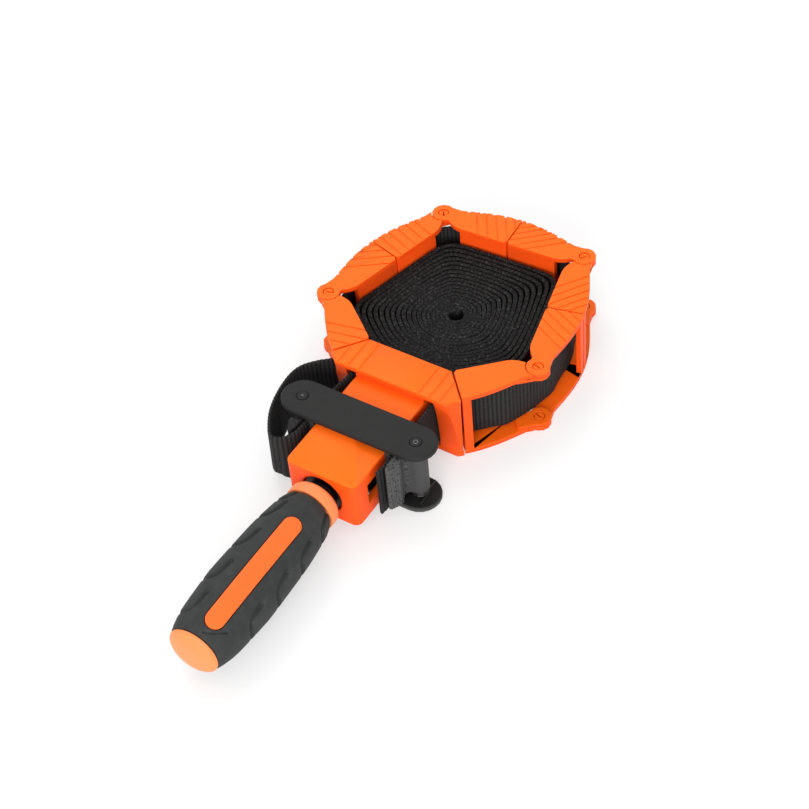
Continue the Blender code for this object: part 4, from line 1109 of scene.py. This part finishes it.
def coil_route():
    """A spiral inwards: radius = share x tightest x (polygon / tightest)^share."""
    tightest = coil_radius(np.radians(np.arange(360.0))).min()
    most = (1.0 - COIL_HEART / tightest) * tightest / COIL_PITCH
    turns = np.arange(0.0, most, 1 / COIL_POINTS)
    angle = COIL_START - 2 * np.pi * turns
    share = 1.0 - turns * COIL_PITCH / tightest
    radius = share * tightest * (coil_radius(angle) / tightest) ** share
    spiral = COIL_MIDDLE + radius[:, None] * np.stack([np.cos(angle), np.sin(angle)], axis=1)
    lead = smooth(np.vstack([[(-18.3, 8.3), (-18.8, 10.4), (-20.6, 12.2)], spiral[3:6:2]]), 6)
    return np.vstack([lead[:-7], spiral[3:]])


def coil_heights(path, s):
    """The belt sinks from the head's height to the floor, and its turns ride unevenly."""
    share = np.clip(s / COIL_DROP_LENGTH, 0.0, 1.0)
    drop = (BELT_LOW - COIL_LOW) * (1 + np.cos(np.pi * share)) / 2
    offset = path[:, :2] - COIL_MIDDLE
    angle = np.arctan2(offset[:, 1], offset[:, 0])
    uneven = 0.09 * np.sin(3 * angle + s / 37.0) + 0.07 * np.sin(s / 11.0)
    return COIL_LOW + BELT_WIDTH / 2 + drop + (COIL_STAND + uneven) * share


coil, length["coil"] = carried(
    "belt_coil", coil_route(), "head", selvedge, COIL_WEAVE, heights=coil_heights
)
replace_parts(coil, "band_coil")
print("whole belt:", round(sum(length.values())), "mm")

# %% [markdown]
# ## Floor and light
#
# A white sweep with soft light from above and the left, as in a catalogue photo. A broad, low lamp
# behind the handle lights the upright walls, which are bright in the photo. More light would whiten
# the floor too, but would wash out the clamp. So the floor glows a little for the camera and in
# reflections only, and it keeps the clamp's shadow.


# %% Studio
SWEEP = 3.0
ROOM_LIGHT = 0.95


def studio_floor():
    mesh = bpy.data.meshes.new("floor")
    corners = [(-SWEEP, -SWEEP, 0), (SWEEP, -SWEEP, 0), (SWEEP, SWEEP, 0), (-SWEEP, SWEEP, 0)]
    mesh.from_pydata(corners, [], [(0, 1, 2, 3)])
    floor = bpy.data.objects.new("floor", mesh)
    bpy.context.scene.collection.objects.link(floor)
    paper = Finish("paper", None)
    tree = paper.tree
    rays = tree.nodes.new("ShaderNodeLightPath")
    seen = Wire(paper, rays.outputs["Is Camera Ray"])
    glossy = Wire(paper, rays.outputs["Is Glossy Ray"])
    glow = paper.node("ShaderNodeEmission", {}, {"Color": (1.0, 1.0, 1.0), "Strength": 1.0})
    paper.set(base_color=(0.88, 0.88, 0.88), roughness=0.9)
    blend = tree.nodes.new("ShaderNodeMixShader")
    tree.links.new((seen.larger(glossy) * 0.5).socket, blend.inputs[0])
    tree.links.new(paper.shader.outputs[0], blend.inputs[1])
    tree.links.new(glow.socket, blend.inputs[2])
    tree.links.new(blend.outputs[0], tree.nodes["Material Output"].inputs["Surface"])
    mesh.materials.append(paper.material)


def lamp(name, place, size, power):
    """A round soft light that points at the origin."""
    data = bpy.data.lights.new(name, "AREA")
    data.shape = "DISK"
    data.size = size
    data.energy = power
    made = bpy.data.objects.new(name, data)
    bpy.context.scene.collection.objects.link(made)
    made.location = place
    made.rotation_euler = (-Vector(place)).to_track_quat("-Z", "Y").to_euler()


def world_light(strength):
    world = bpy.data.worlds.new("white_room")
    bpy.context.scene.world = world
    world.use_nodes = True
    shader = world.node_tree.nodes["Background"]
    shader.inputs["Color"].default_value = (1.0, 1.0, 1.0, 1.0)
    shader.inputs["Strength"].default_value = strength


studio_floor()
world_light(ROOM_LIGHT)
lamp("key", (-0.7, 0.5, 1.4), 0.9, 6.0)
lamp("fill", (0.5, -1.35, 0.6), 1.0, 17.0)
bpy.context.scene.view_settings.view_transform = "Standard"
print("lamps:", len(bpy.data.lights))
